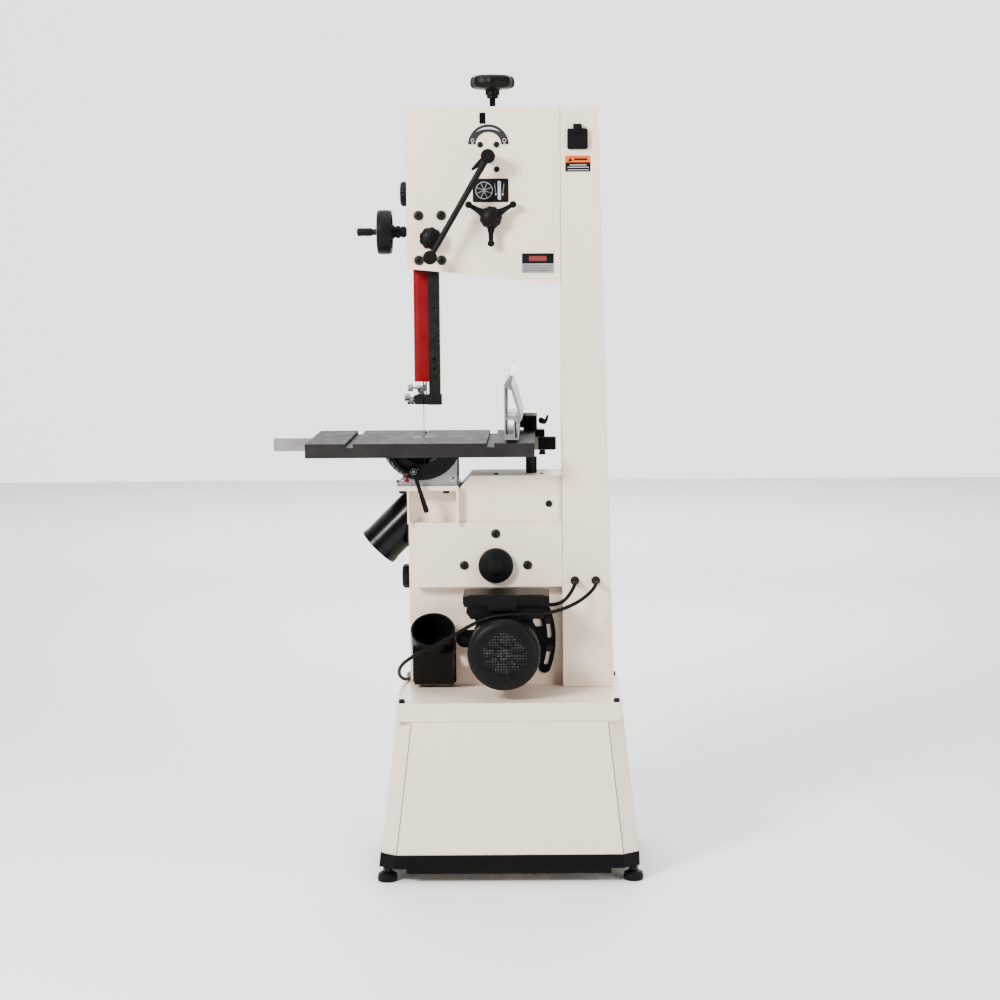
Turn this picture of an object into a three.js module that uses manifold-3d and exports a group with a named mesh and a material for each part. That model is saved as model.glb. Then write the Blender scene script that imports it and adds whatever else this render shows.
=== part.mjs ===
// A floor-standing 14 inch band saw with a steel frame, on a tapered cabinet base.
// Millimetres, +Z up. The machine is drawn about its blade: X = 0 and Y = 0 on the blade that
// cuts, Z = 0 on the floor, the column towards +X, the operator and the doors towards +Y, the
// motor towards -Y. The last group shifts it so that the origin is the bottom centre of its box.
import * as THREE from "three";
import { mergeVertices } from "three/addons/utils/BufferGeometryUtils.js";
import Module from "manifold-3d";

const wasm = await Module();
wasm.setup();

// ---- Driving dimensions ----
const GAP = 0.3; // between pieces that touch
const SHEET = 3; // frame sheet thickness
const WHEEL_RADIUS = 178; // over the tyre
const WHEEL_WIDTH = 28;
const WHEEL_SPAN = 914; // between the two wheel axes
const LOWER_AXIS_Z = 738;
const UPPER_AXIS_Z = LOWER_AXIS_Z + WHEEL_SPAN;
const BLADE_WIDTH = 19;
const BLADE_THICKNESS = 0.8;
const WHEEL_X = WHEEL_RADIUS + GAP + BLADE_THICKNESS / 2;

const REAR_Y = -95; // rear face of the column and of the upper housing
const BAY_Y = -60; // rear face of the recessed motor bay
const FRONT_Y = 70; // front edge of the frame, where the doors close
const UPPER_LEFT = -30.5; // left walls of the upper and the lower housing
const LOWER_LEFT = -37;
const SEAM_X = 342; // where both housings meet the column
const FRAME_BOTTOM = 432 + GAP;
const FRAME_TOP = 1854;
const COLUMN_RIGHT_BOTTOM = 469;
const COLUMN_RIGHT_TOP = 433;
const UPPER_BOTTOM_LEFT = 1466; // the upper housing's sloping underside
const UPPER_BOTTOM_SEAM = 1428;
const LOWER_TOP = 926; // top of the lower housing beside the blade
const SHELF_TOP = 959; // and of its raised shelf towards the column
const BAND_BOTTOM = 684; // raised band around the lower axle
const BAND_TOP = 844;

const TABLE_TOP = 1049;
const TABLE_THICKNESS = 34;
const TABLE_HALF = 276;
const TABLE_REAR = -205;
const TABLE_FRONT = 195;
const TRUNNION_RADIUS = 98; // centred on the table top at the blade
const TRUNNION_INNER = 58;
const TRUNNION_SLOT_RADIUS = 76.4;

const BASE_TOP = 432;
const LEDGE_BOTTOM = 388;
const SKIRT_TOP = 68;
const SKIRT_BOTTOM = 24;

const MOTOR_X = 200;
const MOTOR_Z = 547;
const MOTOR_RADIUS = 78;
const FAN_COVER_RADIUS = 87.5;
const MOTOR_REAR = -295;

const POST_LEFT = 17;
const POST_RIGHT = 45;
const POST_REAR = -60;
const POST_FRONT = -32;
const POST_X = (POST_LEFT + POST_RIGHT) / 2;
const PINION_Y = -74;
const PINION_Z = 1555;

const CORD_RADIUS = 4.5;
const COIL_CENTRE = [175, 186];
const COIL_RADIUS = 50; // at the middle of the turns

// ---- Materials ----
const finish = (color, roughness, metalness = 0) =>
  new THREE.MeshStandardMaterial({ color, roughness, metalness });
const creamPaint = finish(0xdcd5cb, 0.45);
const blackPaint = finish(0x161616, 0.5);
const blackPlastic = finish(0x1c1b1a, 0.55);
const redPaint = finish(0xb01620, 0.4);
const castIron = finish(0x4a4744, 0.5, 0.6);
const castAluminium = finish(0xa9a8a5, 0.45, 0.9);
const machinedSteel = finish(0xb9b9b7, 0.3, 1);
const blackSteel = finish(0x33302e, 0.45, 0.7);
const rubber = finish(0x1a1a1a, 0.85);

// ---- Geometry helpers ----

// Only positions, with shared vertices merged.
function positionsOnly(geometry) {
  const bare = geometry.clone();
  bare.deleteAttribute("normal");
  bare.deleteAttribute("uv");
  return mergeVertices(bare, 1e-4);
}

function toSolid(geometry) {
  const bare = positionsOnly(geometry);
  const made = new wasm.Manifold(
    new wasm.Mesh({
      numProp: 3,
      vertProperties: bare.attributes.position.array,
      triVerts: new Uint32Array(bare.index.array),
    }),
  );
  return made;
}

function toGeometry(body) {
  const mesh = body.getMesh();
  const geometry = new THREE.BufferGeometry();
  const vertices = new Float32Array(mesh.vertProperties);
  geometry.setAttribute("position", new THREE.BufferAttribute(vertices, 3));
  geometry.setIndex(new THREE.BufferAttribute(new Uint32Array(mesh.triVerts), 1));
  geometry.computeVertexNormals();
  return geometry;
}

const join = (...geometries) =>
  toGeometry(geometries.map(toSolid).reduce((whole, next) => whole.add(next)));

const cut = (geometry, ...tools) =>
  toGeometry(tools.map(toSolid).reduce((left, tool) => left.subtract(tool), toSolid(geometry)));

const keepInside = (geometry, limit) =>
  toGeometry(toSolid(geometry).intersect(toSolid(limit)));

// Turns the faces outwards if the profile ran the other way.
function facingOut(geometry) {
  const bare = positionsOnly(geometry);
  const at = bare.attributes.position;
  const index = bare.index.array;
  const [a, b, c] = [new THREE.Vector3(), new THREE.Vector3(), new THREE.Vector3()];
  let volume = 0;
  for (let i = 0; i < index.length; i += 3) {
    a.fromBufferAttribute(at, index[i]);
    b.fromBufferAttribute(at, index[i + 1]);
    c.fromBufferAttribute(at, index[i + 2]);
    volume += a.dot(b.cross(c));
  }
  if (volume < 0) {
    for (let i = 0; i < index.length; i += 3) {
      const first = index[i];
      index[i] = index[i + 1];
      index[i + 1] = first;
    }
  }
  return bare;
}

function box(x0, x1, y0, y1, z0, z1) {
  const geometry = new THREE.BoxGeometry(x1 - x0, y1 - y0, z1 - z0);
  return geometry.translate((x0 + x1) / 2, (y0 + y1) / 2, (z0 + z1) / 2);
}

// A box whose rectangle at the bottom differs from the one at the top: [x0, x1, y0, y1].
function taperedBox(bottom, z0, top, z1) {
  const geometry = new THREE.BoxGeometry(1, 1, 1);
  const at = geometry.attributes.position;
  for (let i = 0; i < at.count; i += 1) {
    const [x0, x1, y0, y1] = at.getZ(i) > 0 ? top : bottom;
    const x = at.getX(i) > 0 ? x1 : x0;
    const y = at.getY(i) > 0 ? y1 : y0;
    at.setXYZ(i, x, y, at.getZ(i) > 0 ? z1 : z0);
  }
  return geometry;
}

const AXIS_TURN = {
  X: new THREE.Matrix4().makeBasis(
    new THREE.Vector3(0, 1, 0),
    new THREE.Vector3(0, 0, 1),
    new THREE.Vector3(1, 0, 0),
  ),
  Y: new THREE.Matrix4().makeBasis(
    new THREE.Vector3(1, 0, 0),
    new THREE.Vector3(0, 0, 1),
    new THREE.Vector3(0, -1, 0),
  ),
  Z: new THREE.Matrix4(),
};

function polygon(points) {
  return new THREE.Shape(points.map(([u, v]) => new THREE.Vector2(u, v)));
}

// A flat shape pushed along an axis from one coordinate to the other. The shape's own two
// directions are Y, Z for the X axis, X, Z for the Y axis, and X, Y for the Z axis.
function extruded(shape, axis, from, to, curveSegments = 8) {
  const options = { depth: to - from, bevelEnabled: false, curveSegments };
  const geometry = new THREE.ExtrudeGeometry(shape, options).applyMatrix4(AXIS_TURN[axis]);
  if (axis === "X") return geometry.translate(from, 0, 0);
  if (axis === "Y") return geometry.translate(0, to, 0);
  return geometry.translate(0, 0, from);
}

// A profile of [radius, height] points turned about an axis through a centre.
function turned(profile, axis, [x, y, z] = [0, 0, 0], segments = 22) {
  const points = profile.map(([r, h]) => new THREE.Vector2(r, h));
  const geometry = facingOut(new THREE.LatheGeometry(points, segments));
  if (axis === "X") geometry.rotateZ(-Math.PI / 2);
  if (axis === "Z") geometry.rotateX(Math.PI / 2);
  return geometry.translate(x, y, z);
}

// A plain cylinder: u and v are the centre's other two coordinates, in X, Y, Z order.
function rod(axis, u, v, radius, from, to, segments = 16) {
  const centre = { X: [0, u, v], Y: [u, 0, v], Z: [u, v, 0] }[axis];
  const profile = [
    [0, from],
    [radius, from],
    [radius, to],
    [0, to],
  ];
  return turned(profile, axis, centre, segments);
}

function roundedRectangle(u0, u1, v0, v1, radius) {
  const shape = new THREE.Shape();
  shape.moveTo(u0 + radius, v0);
  shape.lineTo(u1 - radius, v0);
  shape.absarc(u1 - radius, v0 + radius, radius, -Math.PI / 2, 0);
  shape.absarc(u1 - radius, v1 - radius, radius, 0, Math.PI / 2);
  shape.absarc(u0 + radius, v1 - radius, radius, Math.PI / 2, Math.PI);
  shape.absarc(u0 + radius, v0 + radius, radius, Math.PI, 1.5 * Math.PI);
  return shape;
}

const radians = THREE.MathUtils.degToRad;

// A band of a ring between two angles in degrees, with round ends when it is a slot.
function arcBand(u, v, inner, outer, startDegrees, endDegrees, roundEnds = false) {
  const start = radians(startDegrees);
  const end = radians(endDegrees);
  const middle = (inner + outer) / 2;
  const half = (outer - inner) / 2;
  const shape = new THREE.Shape();
  shape.absarc(u, v, outer, start, end, false);
  if (roundEnds) {
    const cap = [u + middle * Math.cos(end), v + middle * Math.sin(end)];
    shape.absarc(cap[0], cap[1], half, end, end + Math.PI, false);
  }
  shape.absarc(u, v, inner, end, start, true);
  if (roundEnds) {
    const cap = [u + middle * Math.cos(start), v + middle * Math.sin(start)];
    shape.absarc(cap[0], cap[1], half, start + Math.PI, start + 2 * Math.PI, false);
  }
  return shape;
}

// A tube along a smooth curve through the points.
function cordTube(points, radius, step) {
  const curve = new THREE.CatmullRomCurve3(points.map(([x, y, z]) => new THREE.Vector3(x, y, z)));
  const section = new THREE.Shape();
  section.absarc(0, 0, radius, 0, 2 * Math.PI);
  const steps = Math.min(80, Math.ceil(curve.getLength() / step));
  const options = { steps, extrudePath: curve, curveSegments: 4, bevelEnabled: false };
  return facingOut(new THREE.ExtrudeGeometry(section, options));
}

// The outline of a band around two circles, grown by an offset: a blade or a belt.
function loopOutline(large, small, offset, segments) {
  const [x1, z1, r1] = large;
  const [x2, z2, r2] = small;
  const distance = Math.hypot(x2 - x1, z2 - z1);
  const heading = Math.atan2(z2 - z1, x2 - x1);
  const tangent = Math.acos((r1 - r2) / distance);
  const points = [];
  for (let i = 0; i <= segments; i += 1) {
    const angle = heading + tangent + ((2 * Math.PI - 2 * tangent) * i) / segments;
    points.push([x1 + (r1 + offset) * Math.cos(angle), z1 + (r1 + offset) * Math.sin(angle)]);
  }
  for (let i = 0; i <= segments; i += 1) {
    const angle = heading - tangent + (2 * tangent * i) / segments;
    points.push([x2 + (r2 + offset) * Math.cos(angle), z2 + (r2 + offset) * Math.sin(angle)]);
  }
  return points;
}

function loopBand(large, small, thickness, y0, y1, segments) {
  const shape = polygon(loopOutline(large, small, thickness, segments));
  shape.holes.push(polygon(loopOutline(large, small, 0, segments)));
  return extruded(shape, "Y", y0, y1);
}

const machine = new THREE.Group();

function add(name, material, geometry, [x, y, z] = [0, 0, 0]) {
  const mesh = new THREE.Mesh(geometry, material);
  mesh.name = name;
  mesh.position.set(x, y, z);
  machine.add(mesh);
}

// ---- Base ----

const BASE_LEDGE = [-60, 483, -292, 75];
const CABINET_TOP = [-61, 487, -290, 73];
const CABINET_BOTTOM = [-98.5, 522, -324, 107];
const SKIRT_RECT_TOP = [-101, 523, -326, 109];
const SKIRT_RECT_BOTTOM = [-106, 524.5, -329, 112];
const CORNER_CUT = [38, 30]; // the cabinet's vertical corners are cut off
const inset = ([x0, x1, y0, y1], by) => [x0 + by, x1 - by, y0 + by, y1 - by];

function octagon([x0, x1, y0, y1], [dx, dy]) {
  return [
    [x0 + dx, y0],
    [x1 - dx, y0],
    [x1, y0 + dy],
    [x1, y1 - dy],
    [x1 - dx, y1],
    [x0 + dx, y1],
    [x0, y1 - dy],
    [x0, y0 + dy],
  ];
}

// A box with cut corners whose rectangle at the bottom differs from the one at the top.
function taperedOctagon(bottom, z0, top, z1) {
  const [lower, upper] = [bottom, top].map((rectangle) => octagon(rectangle, CORNER_CUT));
  const geometry = extruded(polygon(lower), "Z", z0, z1);
  const at = geometry.attributes.position;
  for (let i = 0; i < at.count; i += 1) {
    if (at.getZ(i) > (z0 + z1) / 2) {
      const corner = lower.findIndex(
        ([x, y]) => Math.hypot(x - at.getX(i), y - at.getY(i)) < 0.01,
      );
      at.setXY(i, ...upper[corner]);
    }
  }
  return geometry;
}

function baseTop() {
  const [x0, x1, y0, y1] = BASE_LEDGE;
  const outer = extruded(roundedRectangle(x0, x1, y0, y1, 8), "Z", LEDGE_BOTTOM, BASE_TOP, 4);
  const hollow = inset(BASE_LEDGE, SHEET);
  return cut(outer, taperedBox(hollow, LEDGE_BOTTOM - 1, hollow, BASE_TOP - SHEET));
}

// Its top is a rim, turned inwards, that the ledge stands on.
function baseCabinet() {
  const bottom = SKIRT_TOP + GAP;
  const top = LEDGE_BOTTOM - GAP;
  const rim = inset(CABINET_TOP, 36);
  return cut(
    taperedOctagon(CABINET_BOTTOM, bottom, CABINET_TOP, top),
    taperedOctagon(inset(CABINET_BOTTOM, 4), bottom - 1, inset(CABINET_TOP, 4), top - SHEET),
    taperedBox(rim, top - SHEET - 1, rim, top + 1),
  );
}

const FOOT_X = [-84.5, 509];
const FOOT_Y = [-296, 79];
const FOOT_STUD = 5;

function baseSkirt() {
  const outer = taperedOctagon(SKIRT_RECT_BOTTOM, SKIRT_BOTTOM, SKIRT_RECT_TOP, SKIRT_TOP);
  const [lower, upper] = [SKIRT_RECT_BOTTOM, SKIRT_RECT_TOP].map((side) => inset(side, SHEET));
  const inner = taperedOctagon(lower, SKIRT_BOTTOM, upper, SKIRT_TOP);
  const [x0, x1, y0, y1] = lower;
  const corner = 58;
  const plateBottom = SKIRT_BOTTOM + 12;
  let whole = cut(outer, inner);
  for (const x of FOOT_X) {
    const [from, to] = x < 0 ? [x0 - 2, x0 + corner] : [x1 - corner, x1 + 2];
    for (const y of FOOT_Y) {
      const [near, far] = y < 0 ? [y0 - 2, y0 + corner] : [y1 - corner, y1 + 2];
      const plate = keepInside(box(from, to, near, far, plateBottom, plateBottom + 5), outer);
      const relief = [from - 8, to + 8, near - 8, far + 8];
      whole = cut(
        join(whole, plate),
        rod("Z", x, y, FOOT_STUD + GAP, plateBottom - 1, plateBottom + 6, 16),
        taperedBox(relief, SKIRT_BOTTOM - 1, relief, plateBottom),
      );
    }
  }
  return whole;
}

function levellingFoot() {
  const profile = [
    [0, 0],
    [22, 0],
    [24, 3],
    [24, 17],
    [19, 22],
    [10, 24],
    [10, 34],
    [FOOT_STUD, 34],
    [FOOT_STUD, 52],
    [0, 52],
  ];
  return turned(profile, "Z", [0, 0, 0], 16);
}

add("base_top", creamPaint, baseTop());
add("base_cabinet", creamPaint, baseCabinet());
add("base_skirt", blackPaint, baseSkirt());
FOOT_X.forEach((x, i) =>
  FOOT_Y.forEach((y, j) => {
    add(`levelling_foot_${2 * i + j + 1}`, blackPlastic, levellingFoot(), [x, y, 0]);
  }),
);

// ---- Frame ----

function column() {
  const slope = (COLUMN_RIGHT_BOTTOM - COLUMN_RIGHT_TOP) / (FRAME_TOP - FRAME_BOTTOM);
  const rightAt = (z) => COLUMN_RIGHT_BOTTOM - slope * (z - FRAME_BOTTOM);
  const section = (by) => [
    [SEAM_X + by, FRAME_BOTTOM + by],
    [rightAt(FRAME_BOTTOM + by) - by, FRAME_BOTTOM + by],
    [rightAt(FRAME_TOP - by) - by, FRAME_TOP - by],
    [SEAM_X + by, FRAME_TOP - by],
  ];
  const outer = extruded(polygon(section(0)), "Y", REAR_Y, FRONT_Y);
  const inner = extruded(polygon(section(SHEET)), "Y", REAR_Y + SHEET, FRONT_Y - SHEET);
  const lowerWindow = [FRAME_BOTTOM + SHEET, LOWER_TOP - SHEET];
  const upperWindow = [UPPER_BOTTOM_SEAM + SHEET, FRAME_TOP - SHEET];
  const openings = [];
  const left = SEAM_X + SHEET;
  const frontSkin = FRONT_Y - SHEET - 1;
  for (const [bottom, top] of [lowerWindow, upperWindow]) {
    openings.push(box(SEAM_X - 1, left + 1, REAR_Y + SHEET, FRONT_Y + 1, bottom, top));
    openings.push(box(left, COLUMN_RIGHT_TOP - 12, frontSkin, FRONT_Y + 1, bottom, top));
  }
  return cut(outer, inner, ...openings);
}

// The opening that the guide post, the blade guard and the blade come down through.
const MOUTH_LEFT = UPPER_LEFT + SHEET;
const LEVER_HUB = [169, 1733];
const TRACKING_HUB = [174, 1588];
const LOCK_STUD = [28, 1539];
const SCREW_X = 179;
const SCREW_Y = -55;

function upperHousing() {
  const right = SEAM_X - GAP;
  const mouthBottom = UPPER_BOTTOM_LEFT - 20;
  const mouthTop = UPPER_BOTTOM_LEFT + 6;
  const outline = (by, open) => [
    [UPPER_LEFT + by, UPPER_BOTTOM_LEFT + by],
    [right + open, UPPER_BOTTOM_SEAM + by],
    [right + open, FRAME_TOP - by],
    [UPPER_LEFT + by, FRAME_TOP - by],
  ];
  return cut(
    extruded(polygon(outline(0, 0)), "Y", REAR_Y, FRONT_Y),
    extruded(polygon(outline(SHEET, 1)), "Y", REAR_Y + SHEET, FRONT_Y + 1),
    box(MOUTH_LEFT, POST_RIGHT + 4, POST_REAR - 4, FRONT_Y + 1, mouthBottom, mouthTop),
    box(148, 162, REAR_Y - 1, REAR_Y + SHEET + 1, 1813, 1839),
    rod("Y", ...LEVER_HUB, 9, REAR_Y - 1, REAR_Y + SHEET + 1, 16),
    rod("Y", ...TRACKING_HUB, 7, REAR_Y - 1, REAR_Y + SHEET + 1, 16),
    rod("Y", ...LOCK_STUD, 7, REAR_Y - 1, REAR_Y + SHEET + 1, 16),
    rod("X", PINION_Y, PINION_Z, 9, UPPER_LEFT - 1, UPPER_LEFT + SHEET + 1, 16),
    rod("Z", SCREW_X, SCREW_Y, 9, FRAME_TOP - SHEET - 1, FRAME_TOP + 1, 16),
  );
}

const DUST_HOLE = [23, 492];
const SIDE_PORT_Z = 852;
const SHELF_LEFT = 88;
const BRACKET_TOP_Z = 936;

// The welded bracket that carries the table: a plate and two wings behind the housing.
function tableBracket() {
  const [left, rear, front] = [-62, -112, 58];
  const wing = 5;
  const wingFront = BAY_Y + 1;
  return join(
    box(left, SHELF_LEFT, rear, front, LOWER_TOP - 1, BRACKET_TOP_Z),
    box(SHELF_LEFT - wing, SHELF_LEFT + 1, rear, wingFront, BAND_TOP - 1, LOWER_TOP + 1),
    box(LOWER_LEFT, LOWER_LEFT + wing, rear, wingFront, BAND_TOP - 1, LOWER_TOP + 1),
  );
}

function lowerHousing() {
  const right = SEAM_X - GAP;
  const bandLeft = LOWER_LEFT + 15;
  const shelfRear = REAR_Y + 8;
  const shelf = (by, open) => [
    [SHELF_LEFT + by, BAND_TOP + by - open],
    [right + open, BAND_TOP + by - open],
    [right + open, SHELF_TOP - by],
    [118 + by / 2, SHELF_TOP - by],
    [SHELF_LEFT + by, LOWER_TOP - by / 2],
  ];
  const shell = join(
    box(LOWER_LEFT, right, BAY_Y, FRONT_Y, FRAME_BOTTOM, LOWER_TOP),
    box(bandLeft, right, REAR_Y, BAY_Y + 1, BAND_BOTTOM, BAND_TOP),
    extruded(polygon(shelf(0, 0)), "Y", shelfRear, FRONT_Y),
    tableBracket(),
  );
  const left = LOWER_LEFT + SHEET;
  const bayInside = BAY_Y + SHEET;
  const [bandFloor, bandRoof] = [BAND_BOTTOM + SHEET, BAND_TOP - SHEET];
  return cut(
    shell,
    box(left, right + 1, bayInside, FRONT_Y + 1, FRAME_BOTTOM + SHEET, LOWER_TOP - SHEET),
    box(bandLeft + SHEET, right + 1, REAR_Y + SHEET, bayInside + 1, bandFloor, bandRoof),
    extruded(polygon(shelf(SHEET, 1)), "Y", shelfRear + SHEET, FRONT_Y - SHEET),
    box(-10, 10, -16, FRONT_Y + 1, LOWER_TOP - SHEET - 1, BRACKET_TOP_Z + 1),
    rod("Y", WHEEL_X, LOWER_AXIS_Z, 16, REAR_Y - 1, REAR_Y + SHEET + 1, 24),
    rod("Y", MOTOR_X, MOTOR_Z, 24, BAY_Y - 1, BAY_Y + SHEET + 1, 24),
    rod("Y", ...DUST_HOLE, 40, BAY_Y - 1, BAY_Y + SHEET + 1, 24),
    rod("X", 0, SIDE_PORT_Z, 47, LOWER_LEFT - 1, LOWER_LEFT + SHEET + 1, 24),
  );
}

add("column", creamPaint, column());
add("upper_housing", creamPaint, upperHousing());
add("lower_housing", creamPaint, lowerHousing());

// ---- Doors ----

const DOOR_DEPTH = 42;
const HINGE_Y = FRONT_Y + 12;
const DOOR_REAR = FRONT_Y + GAP;

function doorPan(outline, hingeX, knuckles) {
  const front = DOOR_REAR + DOOR_DEPTH;
  const centre = new THREE.Vector2();
  outline.forEach(([x, z]) => centre.add(new THREE.Vector2(x, z).divideScalar(outline.length)));
  const inner = outline.map(([x, z]) => [
    x + Math.sign(centre.x - x) * SHEET,
    z + Math.sign(centre.y - z) * SHEET,
  ]);
  let pan = cut(
    extruded(polygon(outline), "Y", DOOR_REAR, front),
    extruded(polygon(inner), "Y", DOOR_REAR - 1, front - SHEET),
  );
  for (const z of knuckles) {
    pan = join(pan, rod("Z", hingeX, HINGE_Y, 5, z - 30, z + 30, 16));
    pan = join(pan, box(hingeX - 6, hingeX, HINGE_Y - 2, HINGE_Y + 2, z - 29, z + 29));
  }
  return pan;
}

const UPPER_DOOR_RIGHT = 423;
const LOWER_DOOR_RIGHT = 434;
const HINGE_OFFSET = 5;

const upperDoor = doorPan(
  [
    [UPPER_LEFT, UPPER_BOTTOM_LEFT],
    [SEAM_X, UPPER_BOTTOM_SEAM],
    [UPPER_DOOR_RIGHT, UPPER_BOTTOM_SEAM],
    [UPPER_DOOR_RIGHT, FRAME_TOP],
    [UPPER_LEFT, FRAME_TOP],
  ],
  UPPER_DOOR_RIGHT + HINGE_OFFSET,
  [1520, 1780],
);
const lowerDoor = doorPan(
  [
    [LOWER_LEFT, FRAME_BOTTOM + 2],
    [LOWER_DOOR_RIGHT, FRAME_BOTTOM + 2],
    [LOWER_DOOR_RIGHT, LOWER_TOP],
    [LOWER_LEFT, LOWER_TOP],
  ],
  LOWER_DOOR_RIGHT + HINGE_OFFSET,
  [520, 850],
);
add("upper_door", creamPaint, upperDoor);
add("lower_door", creamPaint, lowerDoor);

function latchKnob() {
  const profile = [
    [0, 0],
    [12, 0],
    [12, 3],
    [28, 4],
    [31, 8],
    [31, 21],
    [27, 26],
    [0, 26],
  ];
  return facingOut(turned(profile, "X")).rotateY(Math.PI);
}

const LATCH_Y = 92;
const UPPER_LATCH_Z = 1650;
const LOWER_LATCH_Z = 685;
add("upper_door_latch_knob", blackPlastic, latchKnob(), [
  UPPER_LEFT - GAP,
  LATCH_Y,
  UPPER_LATCH_Z,
]);
add("lower_door_latch_knob", blackPlastic, latchKnob(), [
  LOWER_LEFT - GAP,
  LATCH_Y,
  LOWER_LATCH_Z,
]);

// ---- Wheels, blade and drive ----

const TYRE = 6;
const AXLE_RADIUS = 12.5;
const HOLES_IN_WEB = 6;
const WHEEL_FACETS = 42; // the same for wheel and tyre, so that the gap stays even

function wheelBody() {
  const half = WHEEL_WIDTH / 2;
  const rimOuter = WHEEL_RADIUS - TYRE - GAP;
  const rim = turned(
    [
      [rimOuter - 8, -half],
      [rimOuter, -half],
      [rimOuter, half],
      [rimOuter - 8, half],
      [rimOuter - 8, -half],
    ],
    "Y",
    [0, 0, 0],
    WHEEL_FACETS,
  );
  const web = new THREE.Shape();
  web.absarc(0, 0, rimOuter - 4, 0, 2 * Math.PI);
  for (let i = 0; i < HOLES_IN_WEB; i += 1) {
    const angle = (2 * Math.PI * i) / HOLES_IN_WEB;
    const hole = new THREE.Path();
    hole.absarc(98 * Math.cos(angle), 98 * Math.sin(angle), 33, 0, 2 * Math.PI, true);
    web.holes.push(hole);
  }
  return join(rim, extruded(web, "Y", -5, 5, 7), rod("Y", 0, 0, 32, -half, half));
}

function upperWheel() {
  return cut(wheelBody(), rod("Y", 0, 0, AXLE_RADIUS + GAP, -30, 30, 20));
}

const WHEEL_PULLEY_RADIUS = 80;
const MOTOR_PULLEY_RADIUS = 28;
const BELT_FRONT = -26;
const BELT_REAR = -42;
const BELT_THICKNESS = 4;

function lowerWheel() {
  const pulley = rod("Y", 0, 0, WHEEL_PULLEY_RADIUS, BELT_REAR - 2, BELT_FRONT + 2, 28);
  const spacer = rod("Y", 0, 0, 40, BELT_FRONT + 1, -12);
  const axle = rod("Y", 0, 0, AXLE_RADIUS, -92, 24);
  return join(wheelBody(), pulley, spacer, axle);
}

function tyre() {
  const half = WHEEL_WIDTH / 2;
  const inner = WHEEL_RADIUS - TYRE;
  const profile = [
    [inner, -half],
    [WHEEL_RADIUS, -half],
    [WHEEL_RADIUS, half],
    [inner, half],
    [inner, -half],
  ];
  return turned(profile, "Y", [0, 0, 0], WHEEL_FACETS);
}

// The lower wheel's axle turns in the bearing unit that the frame carries.
function bearingUnit() {
  const rear = REAR_Y + SHEET + GAP;
  const front = -47;
  const profile = [
    [AXLE_RADIUS + GAP, rear],
    [34, rear],
    [34, front],
    [AXLE_RADIUS + GAP, front],
    [AXLE_RADIUS + GAP, rear],
  ];
  return turned(profile, "Y", [WHEEL_X, 0, LOWER_AXIS_Z], 20);
}

function hubCap() {
  const profile = [
    [0, -134],
    [14, -133],
    [21, -127],
    [22, -121],
    [34, -120],
    [41, -116],
    [43, -110],
    [43, REAR_Y - GAP],
    [0, REAR_Y - GAP],
  ];
  return turned(profile, "Y", [WHEEL_X, 0, LOWER_AXIS_Z], 24);
}

const bladeHalf = BLADE_WIDTH / 2;
const bladeLoop = loopBand(
  [WHEEL_X, LOWER_AXIS_Z, WHEEL_RADIUS + GAP],
  [WHEEL_X, UPPER_AXIS_Z, WHEEL_RADIUS + GAP],
  BLADE_THICKNESS,
  -bladeHalf,
  bladeHalf,
  30,
);
const beltLoop = loopBand(
  [WHEEL_X, LOWER_AXIS_Z, WHEEL_PULLEY_RADIUS + GAP],
  [MOTOR_X, MOTOR_Z, MOTOR_PULLEY_RADIUS + GAP],
  BELT_THICKNESS,
  BELT_REAR,
  BELT_FRONT,
  22,
);
const upperAxis = [WHEEL_X, 0, UPPER_AXIS_Z];
const lowerAxis = [WHEEL_X, 0, LOWER_AXIS_Z];
add("upper_wheel", castAluminium, upperWheel(), upperAxis);
add("upper_tyre", rubber, tyre(), upperAxis);
add("lower_wheel", castAluminium, lowerWheel(), lowerAxis);
add("lower_tyre", rubber, tyre(), lowerAxis);
add("lower_bearing_unit", castIron, bearingUnit());
add("lower_hub_cap", blackPlastic, hubCap());
add("blade", machinedSteel, bladeLoop);
add("drive_belt", rubber, beltLoop);

// ---- Upper wheel carriage, tension and tracking ----

const CARRIAGE_REAR = -80;
const CARRIAGE_FRONT = -32;
const CARRIAGE_TOP = 1712;
const SPRING_TURNS = 5;

function carriage() {
  const block = box(142, 210, CARRIAGE_REAR, CARRIAGE_FRONT, 1606, CARRIAGE_TOP);
  const boss = rod("Y", WHEEL_X, UPPER_AXIS_Z, 26, CARRIAGE_FRONT - 1, -16, 28);
  const axle = rod("Y", WHEEL_X, UPPER_AXIS_Z, AXLE_RADIUS, -17, 24, 20);
  const nutHole = rod("Z", SCREW_X, SCREW_Y, 9, CARRIAGE_TOP - 60, CARRIAGE_TOP + 1, 16);
  return cut(join(block, boss, axle), nutHole);
}

function tensionSpring() {
  const wire = 2.2;
  const radius = 15;
  const rise = 46;
  class Helix extends THREE.Curve {
    getPoint(t, target = new THREE.Vector3()) {
      const angle = 2 * Math.PI * SPRING_TURNS * t;
      return target.set(radius * Math.cos(angle), radius * Math.sin(angle), rise * t);
    }
  }
  const section = new THREE.Shape();
  section.absarc(0, 0, wire, 0, 2 * Math.PI);
  const options = { steps: 40, extrudePath: new Helix(), curveSegments: 2, bevelEnabled: false };
  return facingOut(new THREE.ExtrudeGeometry(section, options));
}

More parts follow.
